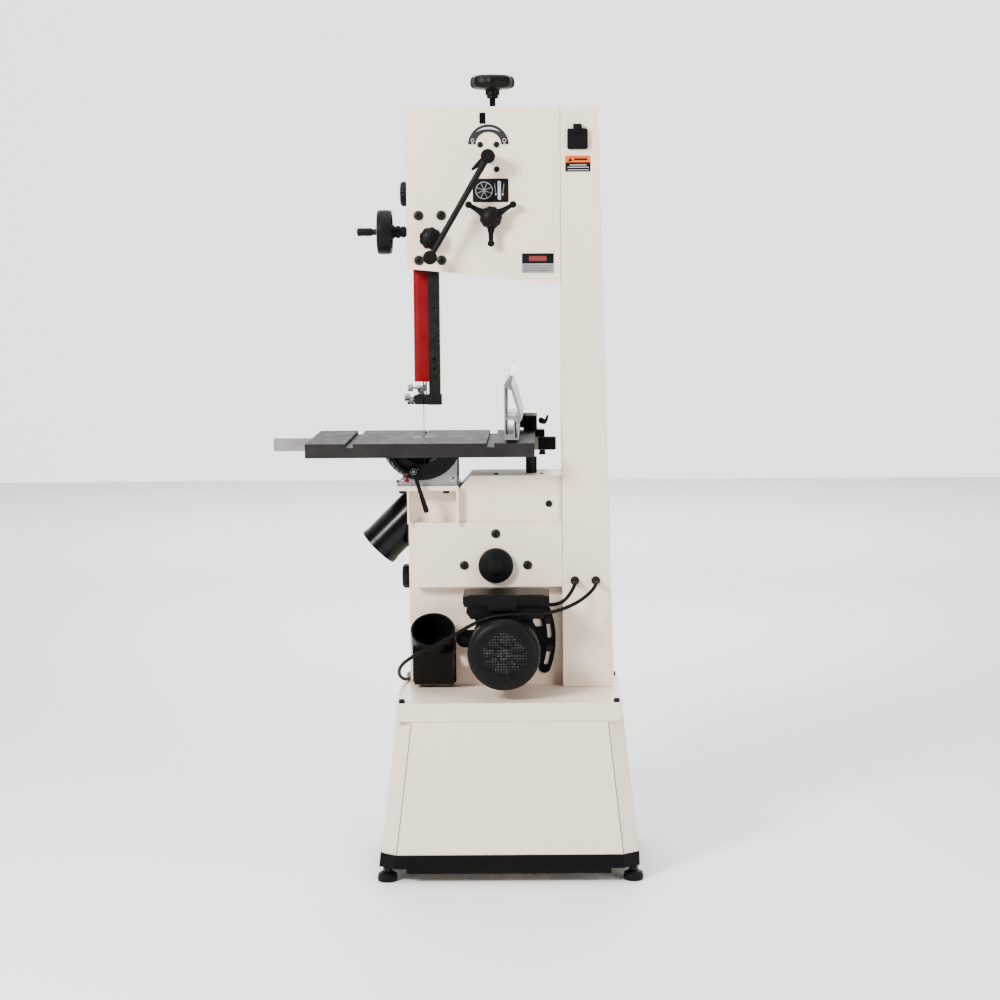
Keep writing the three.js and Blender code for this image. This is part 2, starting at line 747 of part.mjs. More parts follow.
function tensionKnob() {
  const rodRadius = 8;
  const profile = [
    [0, 1672],
    [rodRadius, 1672],
    [rodRadius, 1875],
    [17, 1876],
    [18, 1894],
    [44, 1897],
    [53, 1902],
    [54.5, 1909],
    [53, 1925],
    [46, 1930],
    [30, 1931],
    [0, 1928],
  ];
  const knob = turned(profile, "Z", [0, 0, 0], 24);
  const grips = 8;
  let fluted = knob;
  for (let i = 0; i < grips; i += 1) {
    const angle = (2 * Math.PI * (i + 0.5)) / grips;
    fluted = cut(fluted, rod("Z", 64 * Math.cos(angle), 64 * Math.sin(angle), 14, 1890, 1940, 8));
  }
  return fluted;
}

function trackingKnob() {
  const hub = turned(
    [
      [0, -140],
      [16, -138],
      [26, -130],
      [28, -122],
      [26, -112],
      [14, -104],
      [14, REAR_Y - GAP],
      [6, REAR_Y - GAP],
      [6, CARRIAGE_REAR - GAP - 8],
      [0, CARRIAGE_REAR - GAP - 8],
    ],
    "Y",
    [0, 0, 0],
    20,
  );
  const armReach = 62;
  let whole = hub;
  for (const degrees of [-90, 30, 150]) {
    const arm = box(10, armReach, -126, -114, -7, 7);
    const tip = rod("Y", armReach, 0, 9, -128, -112, 14);
    const placed = join(arm, tip).rotateY(-radians(degrees));
    whole = join(whole, placed);
  }
  return whole;
}

const LEVER_END = [28, 1493];

function quickReleaseLever() {
  const reach = Math.hypot(LEVER_END[0] - LEVER_HUB[0], LEVER_END[1] - LEVER_HUB[1]);
  const direction = Math.atan2(LEVER_END[1] - LEVER_HUB[1], LEVER_END[0] - LEVER_HUB[0]);
  const hub = turned(
    [
      [0, -170],
      [14, -169],
      [18, -163],
      [18, -140],
      [13, -134],
      [13, REAR_Y - GAP],
      [8, REAR_Y - GAP],
      [8, CARRIAGE_REAR - GAP - 6],
      [0, CARRIAGE_REAR - GAP - 6],
    ],
    "Y",
    [0, 0, 0],
    20,
  );
  const arm = rod("X", -156, 0, 7, 8, reach - 6, 12);
  const grip = rod("Y", reach, 0, 14, -166, -146, 20);
  const pointer = box(8, 46, -150, -144, -4, 4).rotateY(radians(15));
  return join(hub, join(arm, grip, pointer).rotateY(-direction));
}

add("wheel_carriage", castIron, carriage());
add("tension_spring", machinedSteel, tensionSpring(), [SCREW_X, SCREW_Y, CARRIAGE_TOP + 3]);
add("tension_knob", blackPlastic, tensionKnob(), [SCREW_X, SCREW_Y, 0]);
add("tracking_knob", blackPlastic, trackingKnob(), [TRACKING_HUB[0], 0, TRACKING_HUB[1]]);
add("quick_release_lever", blackPlastic, quickReleaseLever(), [LEVER_HUB[0], 0, LEVER_HUB[1]]);

// ---- Guide post and upper blade guides ----

const GUARD_LEFT = -21;
const GUARD_BOTTOM = 1187;
const BRACKET_BOTTOM = 1132;
const BRACKET_TOP = 1158;
const BEARING_RADIUS = 11;
const BEARING_OFFSET = BLADE_THICKNESS / 2 + GAP + BEARING_RADIUS;

function guidePost() {
  const bar = box(POST_LEFT, POST_RIGHT, POST_REAR, POST_FRONT, BRACKET_TOP + GAP, 1608);
  const holes = [1222, 1244, 1370].map((z) =>
    rod("Y", POST_X, z, 3, POST_REAR - 1, POST_FRONT + 1, 10),
  );
  return cut(bar, ...holes);
}

function bladeGuard() {
  const rear = -28;
  const front = 24;
  const skin = 1.6;
  const right = POST_LEFT - GAP - 1;
  return join(
    box(GUARD_LEFT, right, rear, rear + skin, GUARD_BOTTOM, 1482),
    box(GUARD_LEFT, GUARD_LEFT + skin, rear, front, GUARD_BOTTOM, 1482),
    box(GUARD_LEFT, right, front - skin, front, GUARD_BOTTOM, 1482),
  );
}

function guideBracket(bottom, top, pinZ) {
  const block = box(POST_LEFT - 2, POST_RIGHT + 3, POST_REAR - 2, POST_FRONT + 2, bottom, top);
  const arm = box(-16, POST_LEFT, -46, -28, bottom, top - 2);
  const pins = [-1, 1].map((side) =>
    rod("Y", side * BEARING_OFFSET, pinZ, 4, -29, 7, 12),
  );
  return join(block, arm, ...pins);
}

function guideBearing() {
  const profile = [
    [4 + GAP, -5],
    [BEARING_RADIUS, -5],
    [BEARING_RADIUS, 5],
    [4 + GAP, 5],
    [4 + GAP, -5],
  ];
  return turned(profile, "Y", [0, 0, 0], 28);
}

const UPPER_GUIDE_Z = 1146;

// The casting that carries the post, bolted inside the upper housing.
function postBracket() {
  const rear = REAR_Y + SHEET + GAP;
  const body = join(
    box(-12, POST_RIGHT + 22, rear, POST_REAR - GAP, 1480, 1602),
    box(POST_RIGHT + GAP, POST_RIGHT + 22, rear, POST_FRONT, 1480, 1602),
    box(-12, POST_LEFT - GAP, rear, POST_REAR + 22, 1480, 1602),
  );
  return cut(
    body,
    rod("X", PINION_Y, PINION_Z, 12.6, -14, POST_RIGHT + 6, 24),
    rod("Y", ...LOCK_STUD, 7, rear - 1, REAR_Y + 12, 16),
  );
}

function lobedKnob(radius, lobes, rear, front) {
  const profile = [
    [0, rear],
    [radius * 0.72, rear + 1],
    [radius, rear + 9],
    [radius, front - 12],
    [radius * 0.55, front],
    [0, front],
  ];
  let knob = turned(profile, "Y", [0, 0, 0], 21);
  for (let i = 0; i < lobes; i += 1) {
    const angle = (2 * Math.PI * i) / lobes;
    const [x, z] = [radius * 1.2 * Math.cos(angle), radius * 1.2 * Math.sin(angle)];
    knob = cut(knob, rod("Y", x, z, radius * 0.32, rear - 1, front + 1, 8));
  }
  return knob;
}

function postLockKnob() {
  const knob = lobedKnob(27, 7, -138, -104);
  return join(
    knob,
    rod("Y", 0, 0, 11, -106, REAR_Y - GAP, 20),
    rod("Y", 0, 0, 6, REAR_Y - 1, REAR_Y + 9, 16),
  );
}

function postHandwheel() {
  const rimRadius = 54;
  const profile = [
    [0, -104],
    [20, -104],
    [26, -96],
    [42, -90],
    [46, -100],
    [52, -102],
    [rimRadius, -94],
    [rimRadius, -76],
    [50, -68],
    [40, -68],
    [24, -78],
    [16, -72],
    [16, UPPER_LEFT - GAP - 14],
    [13, UPPER_LEFT - GAP - 14],
    [13, UPPER_LEFT - GAP],
    [7, UPPER_LEFT - GAP],
    [7, 20],
    [11.6, 20],
    [11.6, 43],
    [0, 43],
  ];
  return turned(profile, "X", [0, 0, 0], 20);
}

const CRANK_OFFSET = -38;

function crankHandle() {
  const profile = [
    [0, -150],
    [8, -149.5],
    [10, -146],
    [10, -118],
    [7.5, -112],
    [8, -105],
    [8, -104 - GAP],
    [0, -104 - GAP],
  ];
  return turned(profile, "X", [0, 0, 0], 14);
}

add("guide_post", blackSteel, guidePost());
add("blade_guard", redPaint, bladeGuard());
add("upper_guide_bracket", blackSteel, guideBracket(BRACKET_BOTTOM, BRACKET_TOP, UPPER_GUIDE_Z));
for (const side of ["left", "right"]) {
  const x = side === "left" ? -BEARING_OFFSET : BEARING_OFFSET;
  add(`upper_guide_bearing_${side}`, machinedSteel, guideBearing(), [x, 0, UPPER_GUIDE_Z]);
}
add("post_bracket", castIron, postBracket());
add("post_lock_knob", blackPlastic, postLockKnob(), [LOCK_STUD[0], 0, LOCK_STUD[1]]);
add("post_handwheel", blackPlastic, postHandwheel(), [0, PINION_Y, PINION_Z]);
add("handwheel_crank_handle", blackPlastic, crankHandle(), [0, PINION_Y + CRANK_OFFSET, PINION_Z]);

// ---- Table, trunnion and fence ----

const INSERT_RADIUS = 32;
const TABLE_BOTTOM = TABLE_TOP - TABLE_THICKNESS;
const MITRE_SLOT_X = 170;
const MITRE_SLOT_HALF = 9.5;
const MITRE_SLOT_DEPTH = 9.5;

// The underside is ribbed: pockets between the edges, the slots and the trunnion's seat.
function tablePockets() {
  const depth = 21;
  const rim = 8;
  const slotRib = 18; // half the solid width that is left under a mitre slot
  const inner = 112;
  const outer = TABLE_HALF - rim;
  const acrossX = [
    [-outer, -MITRE_SLOT_X - slotRib],
    [-MITRE_SLOT_X + slotRib, -inner],
    [inner, MITRE_SLOT_X - slotRib],
    [MITRE_SLOT_X + slotRib, outer],
  ];
  const [rear, front] = [TABLE_REAR + rim, TABLE_FRONT - rim];
  return acrossX.map(([x0, x1]) => box(x0, x1, rear, front, TABLE_BOTTOM - 1, TABLE_BOTTOM + depth));
}

function table() {
  const slab = box(-TABLE_HALF, TABLE_HALF, TABLE_REAR, TABLE_FRONT, TABLE_BOTTOM, TABLE_TOP);
  const cuts = [
    rod("Z", 0, 0, INSERT_RADIUS, TABLE_TOP - 4, TABLE_TOP + 1, 40),
    box(-44, 12, -22, 22, TABLE_BOTTOM - 1, TABLE_TOP - 3),
    box(-1.5, 1.5, 0, TABLE_FRONT + 1, TABLE_BOTTOM - 1, TABLE_TOP + 1),
    ...tablePockets(),
  ];
  for (const x of [-MITRE_SLOT_X, MITRE_SLOT_X]) {
    const [left, right] = [x - MITRE_SLOT_HALF, x + MITRE_SLOT_HALF];
    const floor = TABLE_TOP - MITRE_SLOT_DEPTH;
    cuts.push(box(left, right, TABLE_REAR - 1, TABLE_FRONT + 1, floor, TABLE_TOP + 1));
  }
  return cut(slab, ...cuts);
}

function tableInsert() {
  const disc = rod("Z", 0, 0, INSERT_RADIUS - GAP, TABLE_TOP - 3.7, TABLE_TOP - 0.2, 40);
  return cut(disc, box(-6, 2, -14, 16, TABLE_TOP - 5, TABLE_TOP + 1));
}

// Two slotted arcs under the table, joined by a bar on the column side.
function trunnion() {
  const ring = new THREE.Shape();
  ring.absarc(0, TABLE_TOP, TRUNNION_RADIUS, Math.PI, 2 * Math.PI, false);
  ring.absarc(0, TABLE_TOP, TRUNNION_INNER, 2 * Math.PI, Math.PI, true);
  const slotHalf = 6;
  const slot = arcBand(
    0,
    TABLE_TOP,
    TRUNNION_SLOT_RADIUS - slotHalf,
    TRUNNION_SLOT_RADIUS + slotHalf,
    -146,
    -100,
    true,
  );
  const limit = box(-120, 120, -130, 130, TABLE_TOP - 120, TABLE_BOTTOM - GAP);
  const arcAt = (y0, y1) =>
    cut(keepInside(extruded(ring, "Y", y0, y1, 10), limit), extruded(slot, "Y", y0 - 1, y1 + 1, 4));
  const bar = box(42, 66, -112, 75, TABLE_BOTTOM - GAP - 11, TABLE_BOTTOM - GAP);
  return join(arcAt(-113, -101), arcAt(62, 74), bar);
}

function trunnionSupport() {
  const floor = BRACKET_TOP_Z + GAP;
  const cheek = polygon([
    [-58, floor],
    [85, floor],
    [85, 1003],
    [74, 1003],
    [68, 997],
    [34, 997],
    [0, 980],
    [-58, 946],
  ]);
  const whole = join(
    box(-58, 85, -99, 60, floor, floor + 9),
    extruded(cheek, "Y", -99, -88),
    extruded(cheek, "Y", 49, 60),
  );
  return cut(
    whole,
    box(-10, 10, -16, 70, floor - 1, 1010),
    rod("Y", -19, 975, 6 + GAP, -100, -80, 16),
  );
}

function lowerGuideBracket() {
  const floor = BRACKET_TOP_Z + GAP + 9 + GAP;
  const pins = [-1, 1].map((side) => rod("Y", side * BEARING_OFFSET, 962, 4, -29, 7, 12));
  return join(box(-22, 42, -46, -20, floor, 974), ...pins);
}

function tiltLockHandle() {
  const end = [31, -101];
  const reach = Math.hypot(...end);
  const direction = Math.atan2(end[1], end[0]);
  const stud = rod("Y", 0, 0, 5, -128, -90, 14);
  const boss = rod("Y", 0, 0, 9.5, -140, -114, 24);
  const arm = taperedBox([-4.5, 4.5, -4, 4], 0, [-6.5, 6.5, -5, 5], reach)
    .rotateY(Math.PI / 2 - direction)
    .translate(0, -133, 0);
  return join(stud, boss, arm);
}

function tableStopPost() {
  const profile = [
    [0, SHELF_TOP + GAP],
    [14, SHELF_TOP + GAP],
    [14, 1000],
    [8, 1001],
    [8, 1010],
    [5, 1011],
    [5, TABLE_BOTTOM - GAP],
    [0, TABLE_BOTTOM - GAP],
  ];
  return turned(profile, "Z", [267, -20, 0], 16);
}

const RAIL_REAR = 208;
const RAIL_FRONT = 233;
const RAIL_BOTTOM = 995;
const RAIL_TOP = 1029;

function fenceRail() {
  const tube = cut(
    box(-400, 330, RAIL_REAR, RAIL_FRONT, RAIL_BOTTOM, RAIL_TOP),
    box(-401, 331, RAIL_REAR + 2.5, RAIL_FRONT - 2.5, RAIL_BOTTOM + 2.5, RAIL_TOP - 2.5),
  );
  const spacers = [-210, -70, 70, 210].map((x) =>
    box(x - 12, x + 12, TABLE_FRONT + GAP, RAIL_REAR + 1, RAIL_BOTTOM + 22, RAIL_TOP - 2),
  );
  return join(tube, ...spacers);
}

const FENCE_FACE = 204;

// An aluminium extrusion: an upright face, a leaning lip, a sloping back and two webs.
function fence() {
  const bottom = TABLE_TOP + 8;
  const outline = polygon([
    [FENCE_FACE, bottom],
    [238, bottom],
    [238, 1096],
    [247, 1106],
    [226, 1180],
    [222, 1190],
    [226, 1212],
    [218, 1212],
    [FENCE_FACE, 1190],
  ]);
  const upperHollow = polygon([
    [207.5, 1110],
    [241, 1110],
    [221, 1176],
    [207.5, 1182],
  ]);
  const lowerHollow = polygon([
    [207, bottom + 12],
    [226, bottom + 12],
    [226, 1105],
    [207, 1105],
  ]);
  const sideHollow = polygon([
    [229, bottom + 4],
    [235, bottom + 4],
    [235, 1095],
    [229, 1101],
  ]);
  for (const hollow of [upperHollow, lowerHollow, sideHollow]) outline.holes.push(hollow);
  return extruded(outline, "Y", TABLE_REAR + 2, TABLE_FRONT - 2);
}

// The head that rides on the rail and carries the fence.
function fenceHead() {
  const right = 281;
  const top = 1095;
  return join(
    box(246, right, 150, 246, RAIL_TOP + GAP + 22, top),
    box(246, right, RAIL_REAR - 8, 246, RAIL_TOP + GAP, RAIL_TOP + GAP + 23),
    box(246, right, RAIL_FRONT + GAP, 246, RAIL_BOTTOM + 4, RAIL_TOP + 2),
    box(238 + GAP, 247, 150, 190, TABLE_TOP + 8, 1088),
    box(right - 1, 300, TABLE_FRONT + 3, 240, RAIL_TOP + GAP, TABLE_TOP),
  );
}

function fenceLever() {
  const hub = rod("Y", 292, 1072, 7, 186, 226, 20);
  const blade = extruded(
    polygon([
      [286, 1066],
      [304, 1062],
      [310, 1084],
      [305, 1085],
      [299, 1074],
      [288, 1078],
    ]),
    "Y",
    198,
    214,
  );
  return join(hub, blade);
}

add("table", castIron, table());
add("table_insert", castAluminium, tableInsert());
add("trunnion", blackSteel, trunnion());
add("trunnion_support", castAluminium, trunnionSupport());
add("lower_guide_bracket", castIron, lowerGuideBracket());
add("tilt_lock_handle", blackPlastic, tiltLockHandle(), [-19, 0, 975]);
add("table_stop_post", blackSteel, tableStopPost());
add("fence_rail", castAluminium, fenceRail());
add("fence", castAluminium, fence());
add("fence_head", blackPlastic, fenceHead());
add("fence_lock_lever", blackPlastic, fenceLever());

// ---- Motor ----

const MOTOR_FRONT = BAY_Y - GAP - 6;
const MOTOR_PIVOT = [99, 549];
const BOX_BOTTOM = MOTOR_Z + MOTOR_RADIUS - 2;

function motorBracket() {
  const [pivotX, pivotZ] = MOTOR_PIVOT;
  const front = BAY_Y - GAP;
  const rear = MOTOR_FRONT + GAP;
  const crescentShape = arcBand(pivotX, pivotZ, 196, 226, -20, 19, true);
  const crescent = extruded(crescentShape, "Y", rear, front, 8);
  const slots = [
    [-17, -6],
    [1.5, 13],
  ].map(([start, end]) =>
    extruded(arcBand(pivotX, pivotZ, 206, 216, start, end, true), "Y", rear - 1, front + 1, 5),
  );
  const plate = join(
    rod("Y", MOTOR_X, MOTOR_Z, 82, rear, front, 32),
    rod("Y", pivotX, pivotZ, 22, rear, front, 16),
    box(pivotX, MOTOR_X, rear, front, pivotZ - 22, pivotZ + 22),
    box(MOTOR_X, pivotX + 200, rear, front, pivotZ - 55, pivotZ + 30),
    crescent,
  );
  return cut(plate, ...slots, rod("Y", MOTOR_X, MOTOR_Z, 24, rear - 1, front + 1, 24));
}

function motorBody() {
  const rear = MOTOR_REAR + 60;
  const can = rod("Y", MOTOR_X, MOTOR_Z, MOTOR_RADIUS, rear, MOTOR_FRONT, 32);
  return cut(can, rod("Y", MOTOR_X, MOTOR_Z, 13, -100, MOTOR_FRONT + 1, 20));
}

function fanCover() {
  const rim = MOTOR_REAR + 60 - GAP;
  const profile = [
    [0, MOTOR_REAR],
    [70, MOTOR_REAR],
    [80, MOTOR_REAR + 4],
    [FAN_COVER_RADIUS, MOTOR_REAR + 14],
    [FAN_COVER_RADIUS, rim],
    [FAN_COVER_RADIUS - 2.5, rim],
    [FAN_COVER_RADIUS - 2.5, MOTOR_REAR + 15],
    [69, MOTOR_REAR + 3],
    [0, MOTOR_REAR + 3],
  ];
  return turned(profile, "Y", [MOTOR_X, 0, MOTOR_Z], 32);
}

function terminalBox() {
  const outer = join(
    box(108, 304, -224, -118, BOX_BOTTOM - 6, 666),
    box(101, 310, -232, -112, 660, 684),
  );
  return cut(outer, rod("Y", MOTOR_X, MOTOR_Z, MOTOR_RADIUS + GAP + 0.3, -240, -100, 40));
}

function motorRotor() {
  return join(
    rod("Y", 0, 0, 9.5, -98, BELT_FRONT + 4, 20),
    rod("Y", 0, 0, MOTOR_PULLEY_RADIUS, BELT_REAR - 2, BELT_FRONT + 2, 36),
  );
}

add("motor_bracket", blackPaint, motorBracket());
add("motor_body", blackPaint, motorBody());
add("motor_fan_cover", blackPlastic, fanCover());
add("motor_terminal_box", blackPlastic, terminalBox());
add("motor_rotor", machinedSteel, motorRotor(), [MOTOR_X, 0, MOTOR_Z]);

// ---- Dust ports and socket ----

function lowerDustHood() {
  const rear = BAY_Y - GAP;
  const tilt = radians(50);
  const mouth = [24, -150, 587];
  const along = (from, to, radius) =>
    facingOut(rod("Y", 0, 0, radius, -to, -from, 22))
      .rotateX(-tilt)
      .translate(...mouth);
  const plate = extruded(roundedRectangle(-31, 77, 437, 548, 8), "Y", rear - 4, rear, 5);
  const profile = [
    [rear - 3, 442],
    [-104, 442],
    [-152, 492],
    [-172, 532],
    [-140, 552],
    [rear - 3, 545],
  ];
  const bulk = extruded(polygon(profile), "X", -25, 73);
  const innerProfile = profile.map(([y, z]) => [
    Math.min(y + 4, rear + 2),
    z < 500 ? z + 4 : z - 4,
  ]);
  innerProfile[0][0] = rear + 2;
  innerProfile[5][0] = rear + 2;
  const port = along(-80, 0, 53.5);
  const frontLimit = box(-200, 200, -400, rear - 0.001, 300, 700);
  const shell = keepInside(join(plate, bulk, port), frontLimit);
  const hollow = extruded(polygon(innerProfile), "X", -21, 69);
  return cut(shell, hollow, along(-100, 1, 50));
}

function sideDustPort() {
  const wall = LOWER_LEFT - GAP;
  const centre = [wall, SIDE_PORT_Z];
  const reach = 128;
  const lean = Math.PI / 4;
  const along = (from, to, radius) =>
    rod("Z", 0, 0, radius, -to, -from, 24)
      .rotateY(lean)
      .translate(centre[0], 0, centre[1]);
  const pipe = along(-80, reach - 14, 51.5);
  const plate = roundedRectangle(-58, 58, centre[1] - 72, centre[1] + 72, 8);
  const flange = extruded(plate, "X", wall - 4, wall, 5);
  const limit = box(-300, wall, -200, 200, 600, 1000);
  return cut(keepInside(join(pipe, flange), limit), along(-120, reach, 48.5));
}

add("lower_dust_hood", blackPlastic, lowerDustHood());
add("side_dust_port", blackPlastic, sideDustPort());

const FLAP_HINGE_Z = 1804;
function outletFlap() {
  return join(
    box(-25, 25, -113, -106, 1751 - FLAP_HINGE_Z, 1799 - FLAP_HINGE_Z),
    box(-12, 12, -113, -106, 1790 - FLAP_HINGE_Z, 1808 - FLAP_HINGE_Z),
  );
}
add("outlet_flap", blackPlastic, outletFlap(), [384, 0, FLAP_HINGE_Z]);

// ---- Cords ----

const GLAND_Z = 698.5;
const LEAD_GLAND_X = 373;
const CORD_GLAND_X = 424.5;

function cordGland() {
  const profile = [
    [0, REAR_Y - 27],
    [6, REAR_Y - 27],
    [8, REAR_Y - 18],
    [11, REAR_Y - 12],
    [11, REAR_Y - GAP],
    [0, REAR_Y - GAP],
  ];
  return turned(profile, "Y", [0, 0, 0], 12);
}

// The lead from the column to the motor's terminal box.
const LEAD_ROUTE = [
  [LEAD_GLAND_X, -122.5, GLAND_Z],
  [372, -137, 695],
  [366, -150, 684],
  [356, -160, 670],
  [343, -167, 658.5],
  [326, -170, 652],
  [304.6, -170, 650],
];
// The power cord, from its gland over the motor and the dust hood, down past the frame's left
// side to the ledge, and down behind the base to the coil on the floor.
const CORD_ROUTE = [
  [CORD_GLAND_X, -122.8, GLAND_Z],
  [CORD_GLAND_X, -134, 698],
  [422, -147, 693],
  [412, -162, 682],
  [394, -178, 668.5],
  [367, -197, 655],
  [331, -222, 645],
  [292, -248, 641.5],
  [250, -262, 641.5],
  [205, -266, 641],
  [163, -263, 634],
  [125, -253, 617],
  [88, -235, 593],
  [56, -219, 572],
  [24, -204, 554],
  [-8, -187, 536],
  [-36, -165, 516],
  [-55, -136, 495],
  [-63, -103, 474],
  [-61, -68, 455],
  [-53.5, -34, 442.5],
  [-47, -4, 438],
  [-44.8, 22, 437.6],
  [-44.3, 44, 439.4],
  [-44.3, 60, 440.8],
  [-44.1, 77, 437],
  [-43.6, 90.6, 426.4],
  [-42.5, 98.6, 411],
  [-40.2, 101.5, 393],
  [-33, 106, 350],
  [-19, 113, 295],
  [-0.5, 121, 230],
  [17, 126, 160],
  [33, 130, 100],
  [50, 135, 50],
  [72, 140, 18],
  [96, 141, 6.5],
  [116, 139, 4.9],
  [131, 138, 4.8],
];

function cordCoil() {
  const half = 2 * CORD_RADIUS;
  const profile = [
    [COIL_RADIUS - half, GAP],
    [COIL_RADIUS + half, GAP],
    [COIL_RADIUS + half, 4 * CORD_RADIUS + GAP],
    [COIL_RADIUS - half, 4 * CORD_RADIUS + GAP],
    [COIL_RADIUS - half, GAP],
  ];
  return turned(profile, "Z", [0, 0, 0], 32);
}

function plug() {
  const body = turned(
    [
      [0, 0],
      [7, 0],
      [9, 8],
      [15, 14],
      [17, 22],
      [17, 42],
      [0, 42],
    ],
    "X",
    [0, 0, 0],
    20,
  );
  const blades = [-6.3, 6.3].map((y) => box(41, 60, y - 0.8, y + 0.8, 0, 6.5));
  const ground = rod("X", 0, -6, 2.4, 41, 62, 10);
  return join(body, ...blades, ground);
}

add("power_cord_gland", blackPlastic, cordGland(), [CORD_GLAND_X, 0, GLAND_Z]);
add("motor_lead", rubber, cordTube(LEAD_ROUTE, CORD_RADIUS, 4 * CORD_RADIUS));
add("power_cord", rubber, cordTube(CORD_ROUTE, CORD_RADIUS, 6 * CORD_RADIUS));
add("power_cord_coil", rubber, cordCoil(), [COIL_CENTRE[0], COIL_CENTRE[1], 0]);
add("power_plug", blackPlastic, plug(), [246, 176, 17.5]);

// ---- The origin: bottom centre of the saw's box, without the free cord ----

const freeCord = ["power_cord", "power_cord_coil", "power_plug"];
const extent = new THREE.Box3();
machine.children
  .filter((mesh) => !freeCord.includes(mesh.name))
  .forEach((mesh) => extent.expandByObject(mesh, true));
machine.position.set(
  -(extent.min.x + extent.max.x) / 2,
  -(extent.min.y + extent.max.y) / 2,
  -extent.min.z,
);

const group = new THREE.Group();
group.add(machine);

export default group;
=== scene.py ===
"""The looks of a floor-standing 14 inch band saw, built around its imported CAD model.

Lengths in this script are millimetres measured at the saw: X and Y from the blade's cutting line,
Z from the floor, the column towards +X, the motor towards -Y. at() turns them into metres in the
model's own frame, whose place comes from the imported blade.
"""
import math

import bmesh
import bpy
from mathutils import Matrix, Vector
from mathutils.geometry import tessellate_polygon


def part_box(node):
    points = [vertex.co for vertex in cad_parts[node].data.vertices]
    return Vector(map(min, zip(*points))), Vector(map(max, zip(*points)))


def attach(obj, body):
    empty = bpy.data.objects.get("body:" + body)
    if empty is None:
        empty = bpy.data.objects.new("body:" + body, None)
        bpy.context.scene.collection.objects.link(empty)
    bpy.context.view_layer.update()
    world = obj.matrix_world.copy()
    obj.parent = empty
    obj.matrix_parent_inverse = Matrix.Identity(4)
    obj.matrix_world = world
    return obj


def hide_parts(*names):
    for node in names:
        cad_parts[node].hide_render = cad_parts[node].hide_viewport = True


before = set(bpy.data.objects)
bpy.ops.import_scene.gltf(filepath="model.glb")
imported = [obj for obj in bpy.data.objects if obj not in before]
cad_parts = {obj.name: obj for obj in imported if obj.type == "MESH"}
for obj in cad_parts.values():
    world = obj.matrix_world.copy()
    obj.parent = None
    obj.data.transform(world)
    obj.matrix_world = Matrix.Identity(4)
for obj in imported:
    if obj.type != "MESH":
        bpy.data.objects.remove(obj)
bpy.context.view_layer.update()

MM = 0.001
blade_low, blade_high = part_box("blade")
BLADE_THICKNESS = 0.8
ORIGIN = Vector((blade_low.x + BLADE_THICKNESS / 2 * MM, (blade_low.y + blade_high.y) / 2, 0.0))


def at(x, y, z):
    """A place on the saw, in metres in the model's frame."""
    return ORIGIN + Vector((x, y, z)) * MM


# ---- Driving dimensions ----

REAR = -95.0  # rear face of the column, of the upper housing and of the raised band
SHELF_REAR = -87.0
UPPER_LEFT = -30.5  # left walls of the two housings
LOWER_LEFT = -37.0
LEDGE_TOP = 432  # the base's top face, outside the housing
COLUMN_EDGE = 342  # where the column's sheet meets the housings' sheets

WHEEL_X = 178.7
LOWER_AXIS_Z = 738
UPPER_AXIS_Z = 1652
BLADE_LOOP_RADIUS = 178.3
TOOTH_PITCH = 4.2

POST_X = 31
POST_HOLES_Z = (1222, 1244, 1370)
GUIDE_Z = 1146
BEARING_X = 11.7
TENSION_SCREW = (179, -55)
TENSION_TOP = 1930.5
TRACKING_HUB = (174, 1588)
RELEASE_HUB = (169, 1733)
RELEASE_END = (28, 1493)
LOCK_STUD = (28, 1539)
PINION_Y, PINION_Z = -74, 1555
CRANK_Y = PINION_Y - 38
LATCH_Y = 92
GAUGE = (169, 1762)

TABLE_TOP = 1049
TILT_STUD = (-19, 975)
TRUNNION_REAR = -113.4
STOP_POST = (267, -20)

MOTOR = (200, 547)
FAN_REAR = -295
FAN_RADIUS = 87.5
MOTOR_REAR, MOTOR_FRONT = -234.6, -66.6
BRACKET_PIVOT = (99, 549)
BRACKET_SLOT_RADIUS = 211
SIDE_PORT_Z = 852
HOOD_MOUTH = (24, -150, 587)
HOOD_LEAN = 50  # degrees
FEET = [(-84.5, -296), (-84.5, 79), (509, -296), (509, 79)]

CORD_DIAMETER = 9.0
GLAND_Z = 698.5
LEAD_GLAND_X = 373
CORD_GLAND_X = 424.5
GLAND_BASE = -95.3
COIL_CENTRE = (175, 186)
COIL_RADIUS = 50
COIL_FLOOR = 4.8
PLUG_ENTRY = (246, 176, 17.5)

# ---- Camera ----

CAMERA_PLACE = (303, -5635, 1530)
CAMERA_PITCH = 6.5  # degrees below the horizon
CAMERA_ROLL = 0.34
LENS = 81.7
SENSOR = 36.0
SHIFT_X = -0.046


def in_scene(name, data):
    """An object with this data, linked to the scene."""
    thing = bpy.data.objects.new(name, data)
    bpy.context.scene.collection.objects.link(thing)
    return thing


def make_camera():
    data = bpy.data.cameras.new("camera")
    data.lens = LENS
    data.sensor_width = SENSOR
    data.shift_x = SHIFT_X
    data.clip_end = 30.0
    camera = in_scene("camera", data)
    tilt = Matrix.Rotation(math.radians(90 - CAMERA_PITCH), 4, "X")
    roll = Matrix.Rotation(math.radians(-CAMERA_ROLL), 4, "Z")
    camera.matrix_world = Matrix.Translation(at(*CAMERA_PLACE)) @ tilt @ roll
    bpy.context.scene.camera = camera


make_camera()

# ---- Stage and light ----

DIM_SIDE = 0.24
BRIGHT_SIDE = 2.5
FLOOR_HALF = 9.0


